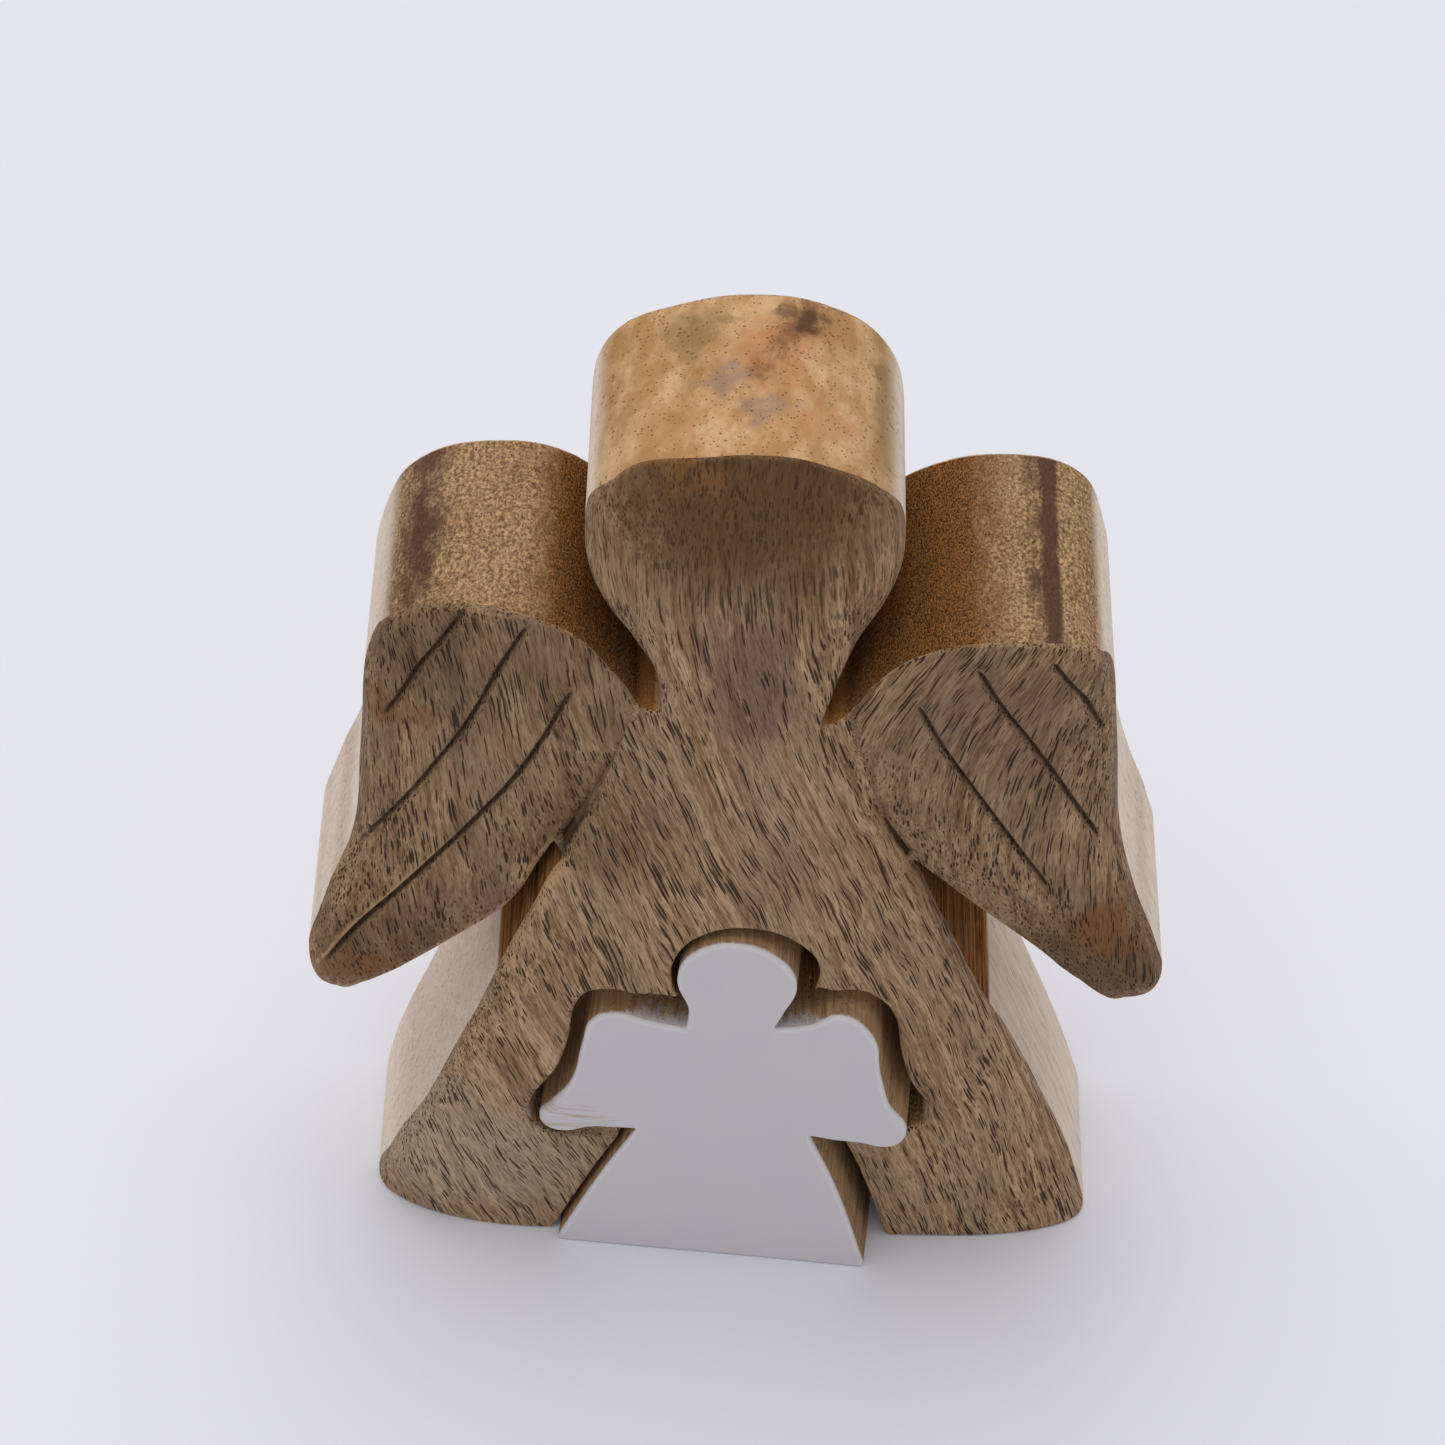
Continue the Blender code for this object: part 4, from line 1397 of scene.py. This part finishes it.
def end_grain_tone(wiring, place):
    """Cream and tan clouds with maroon stains; weathered greyer on the wings than on the head."""
    apart = wiring.put("ShaderNodeSeparateXYZ", {"Vector": place}).outputs
    grit = wiring.noise(place, (0.8, 1.0, 0.8), 4.0, 0.75)
    fine = wiring.noise(place, (0.40, 0.55, 0.40), 2.0, 0.7)
    cloud = wiring.noise(place, (5.0, 8.0, 5.0), 4.0, 0.65)
    tone = wiring.mix(wiring.ramp(cloud, 0.36, 0.62), CREAM, TAN)
    tone = wiring.mix(wiring.maths("MULTIPLY", wiring.mark("wing"),
                                   wiring.ramp(grit, 0.3, 0.62, 0.35, 0.95)), tone, WEATHERED)
    tone = stained_and_shaded(wiring, wiring.ragged(place, 3.0, 9.0), tone, HEAD_TOP_STAINS)
    tone = wiring.mix(wiring.ramp(grit, 0.47, 0.68, 0.0, 0.5), tone, TAN)
    slant = wiring.maths("MULTIPLY_ADD", apart["Y"], -0.5, apart["X"])
    off = wiring.maths("ABSOLUTE", wiring.maths("ADD", slant, 0.5))
    band = wiring.maths("MULTIPLY", wiring.ramp(off, 5.0, 0.0, 0.0, 0.5),
                        wiring.ramp(apart["Y"], -4.0, 3.0))
    band = wiring.maths("MULTIPLY", band, wiring.maths("SUBTRACT", 1.0, wiring.mark("wing")))
    for edge, most, colour in ((0.66, 0.8, UMBER), (0.34, 0.65, CREAM)):
        speckle = wiring.ramp(fine, 0.48, edge, 0.0, most)
        tone = wiring.mix(wiring.maths("MULTIPLY", wiring.mark("wing"), speckle), tone, colour)
    stain = wiring.maths("ADD", band, wiring.mark("stain"))
    stain = wiring.maths("MULTIPLY_ADD", cloud, 1.6, stain)
    stain = wiring.maths("MULTIPLY_ADD", grit, 0.5, stain)
    return wiring.mix(wiring.ramp(stain, 1.25, 2.05, 0.0, 0.9), tone, MAROON)


print("stains on the head's top:", len(HEAD_TOP_STAINS))


# %% Finish: the sawn sides
NOTCH_ENDS = [(-10.6, 0.0, 109.0), (11.0, 0.0, 109.3)]
NOTCH_END_SIZES = (3.6, ANY_DEPTH, 3.0)
SANDED_SHINE = 0.08
RAW_SHINE = 0.0


def sawn_sides(name, shine):
    """End grain on top, pale sanded flanks with a painted sheen, raw slots and scorched saw cuts.
    """
    material, wiring, shader, place = new_finish(name, 0.75)
    shader.inputs["Specular IOR Level"].default_value = shine
    grain = wiring.use(GRAIN, Place=place, Lean=wiring.mark("lean"), Share=0.3)
    saw = wiring.use(SAW, Place=place)
    # Painted sheen: the flanks' colour is paler than sanded wood, for the shine that they catch at
    # a flat angle.
    flank_with_sheen = wiring.mix(wiring.ramp(grain["Streaks"], 0.35, 0.75, 0.0, 0.3), PALE, BROWN)
    facing_up = wiring.mark("upward")
    tone = wiring.mix(wiring.ramp(facing_up, 0.2, 0.62), flank_with_sheen, end_grain_tone(wiring, place))
    holes = wiring.maths("MULTIPLY", grain["Pores"], wiring.ramp(facing_up, 0.1, 0.6, 0.2, 0.62))
    tone = wiring.mix(holes, tone, UMBER)
    raw = wiring.mix(wiring.ramp(saw["Lines"], 0.35, 0.65), RAW, UMBER)
    tone = wiring.mix(wiring.maths("MAXIMUM", wiring.mark("raw"), wiring.mark("pocket")), tone, raw)
    burnt = wiring.mix(wiring.ramp(saw["Fuzz"], 0.36, 0.68), CHARRED, EMBER)
    fresh = wiring.mix(wiring.ramp(saw["Fuzz"], 0.40, 0.62), RAW, GLOWING)
    for middle in NOTCH_ENDS:
        end = wiring.ramp(wiring.spot(place, middle, NOTCH_END_SIZES), 0.0, 1.0, 0.0, 0.6)
        burnt = wiring.mix(end, burnt, fresh)
    patchy = wiring.maths("MULTIPLY_ADD", wiring.noise(place, (2.0, 5.0, 2.0), 4.0), 0.6,
                          wiring.mark("scorch"))
    tone = wiring.mix(wiring.ramp(patchy, 0.35, 1.0, 0.0, 0.94), tone, burnt)
    wiring.feed(shader.inputs["Base Color"], tone)
    ridges = wiring.maths("MULTIPLY", wiring.maths("ADD", saw["Lines"], saw["Fuzz"]),
                          wiring.mark("sawn"))
    height = wiring.maths("MULTIPLY_ADD", grain["Pores"], -0.25, ridges)
    dent(wiring, shader, height, SAWN_DENT)
    return material


side_finish = sawn_sides("sanded_sides", SANDED_SHINE)
raw_finish = sawn_sides("raw_cuts", RAW_SHINE)
print(side_finish.name, "and", raw_finish.name, "have", len(raw_finish.node_tree.nodes), "nodes")

# %% [markdown]
# ## The back
# The flat back was sanded with the rest of the plank and never carved or rubbed, so it is the
# plain wood: the same grain and pores, with none of the front's stains.

# %% Finish: the plank's back
def plank_back():
    """The flat back: sanded side grain, lighter and plainer than the front."""
    material, wiring, shader, place = new_finish("plank_back", 0.62)
    grain = wiring.use(GRAIN, Place=place, Lean=wiring.mark("lean"), Share=0.8)
    tone = wiring.mix(wiring.ramp(grain["Streaks"], 0.36, 0.68), STRAW, BROWN)
    tone = wiring.mix(wiring.ramp(grain["Patches"], 0.45, 0.7, 0.0, 0.5), tone, ASHEN)
    tone = wiring.mix(wiring.maths("MULTIPLY", grain["Pores"], 0.8), tone, PORE)
    wiring.feed(shader.inputs["Base Color"], tone)
    dent(wiring, shader, wiring.maths("MULTIPLY", grain["Pores"], -1.0), BACK_DENT)
    return material


back_finish = plank_back()
print(back_finish.name, "has", len(back_finish.node_tree.nodes), "nodes")

# %% [markdown]
# ## The paint and the bare sides
# Only the small angel's front was painted, in a thick matt white. Its rounded edges are painted
# brighter as a highlight, the coat is rubbed thin on one wing tip, and a little of it crept round
# beside the neck.
# Its sides are plain sawn wood. The paint's reach is measured from the front edge along the skin,
# with noise on it, which gives the ragged line that a brush leaves.

# %% Finish: the small angel's paint
def white_paint():
    """A matt white coat with a painted highlight on its edges, rubbed thin on the left wing tip."""
    material, wiring, shader, place = new_finish("white_paint", 0.55)
    wear_and_highlight = wiring.use(WEAR_AND_HIGHLIGHT, Place=place, Gap=wiring.mark("edge_gap"), Width=0.7)["Wear"]
    tone = wiring.mix(wiring.ramp(wiring.noise(place, (9.0, 9.0, 9.0)), 0.3, 0.7, 0.0, 0.08),
                      WHITE, PALE)
    # Painted highlight: the paint's rounded edges are made brighter, for the light that they catch.
    tone = wiring.mix(wiring.maths("MULTIPLY", wear_and_highlight, 0.6), tone, HIGHLIGHT_WHITE)
    rubbed = wiring.ramp(wiring.noise(place, (9.0, 9.0, 0.55), 2.0), 0.52, 0.66)
    tone = wiring.mix(wiring.maths("MULTIPLY", rubbed, wiring.maths(
        "MULTIPLY", wiring.mark("tips"), 0.55)), tone, BARE)
    wiring.feed(shader.inputs["Base Color"], tone)
    dent(wiring, shader, wiring.noise(place, (0.5, 0.5, 0.5), 3.0), PAINT_DENT)
    return material


paint_finish = white_paint()
print(paint_finish.name, "has", len(paint_finish.node_tree.nodes), "nodes")


# %% Finish: the small angel's bare sides
def bare_sides():
    """Plain sawn wood with a little paint that crept round the front edge."""
    material, wiring, shader, place = new_finish("bare_sides", 0.7)
    grain = wiring.use(GRAIN, Place=place, Lean=0.0, Share=0.3)
    saw = wiring.use(SAW, Place=place)
    tone = wiring.mix(wiring.ramp(saw["Lines"], 0.35, 0.7), BARE, BROWN)
    tone = wiring.mix(wiring.ramp(wiring.noise(place, (4.0, 6.0, 4.0)), 0.45, 0.7, 0.0, 0.6),
                      tone, TAN)
    tone = wiring.mix(wiring.maths("MULTIPLY", grain["Pores"], 0.6), tone, UMBER)
    reach = wiring.maths("MULTIPLY_ADD", wiring.mark("necks"), 3.0, 0.35)
    speckle = wiring.maths("SUBTRACT", wiring.noise(place, (0.6, 1.2, 0.6), 4.0, 0.8), 0.5)
    depth = wiring.maths("MULTIPLY_ADD", speckle, wiring.maths("MULTIPLY", reach, 3.0),
                         wiring.mark("from_front"))
    tone = wiring.mix(wiring.ramp(depth, reach, 0.0, 0.0, 0.85), tone, WHITE)
    wiring.feed(shader.inputs["Base Color"], tone)
    dent(wiring, shader, wiring.maths("ADD", saw["Lines"], saw["Fuzz"]), BARE_DENT)
    return material


bare_finish = bare_sides()
print(bare_finish.name, "has", len(bare_finish.node_tree.nodes), "nodes")

# %% [markdown]
# ## Onto the frame
# Each skin rides on the body that it stands for, hides that body's plain solid, and takes its
# finishes in the order that its faces are numbered: front, sides, back and raw cuts.

# %% Fit the pieces to the frame
for piece, node, slot, finishes in (
        (large_angel, "large_angel", "sanded_wood",
         (front_finish, side_finish, back_finish, raw_finish)),
        (small_angel, "small_angel", "painted_wood", (paint_finish, bare_finish, back_finish))):
    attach(piece, node)
    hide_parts(node)
    for finish in finishes:
        piece.data.materials.append(finish)
    print(piece.name, "wears", ", ".join(finish.name for finish in finishes))
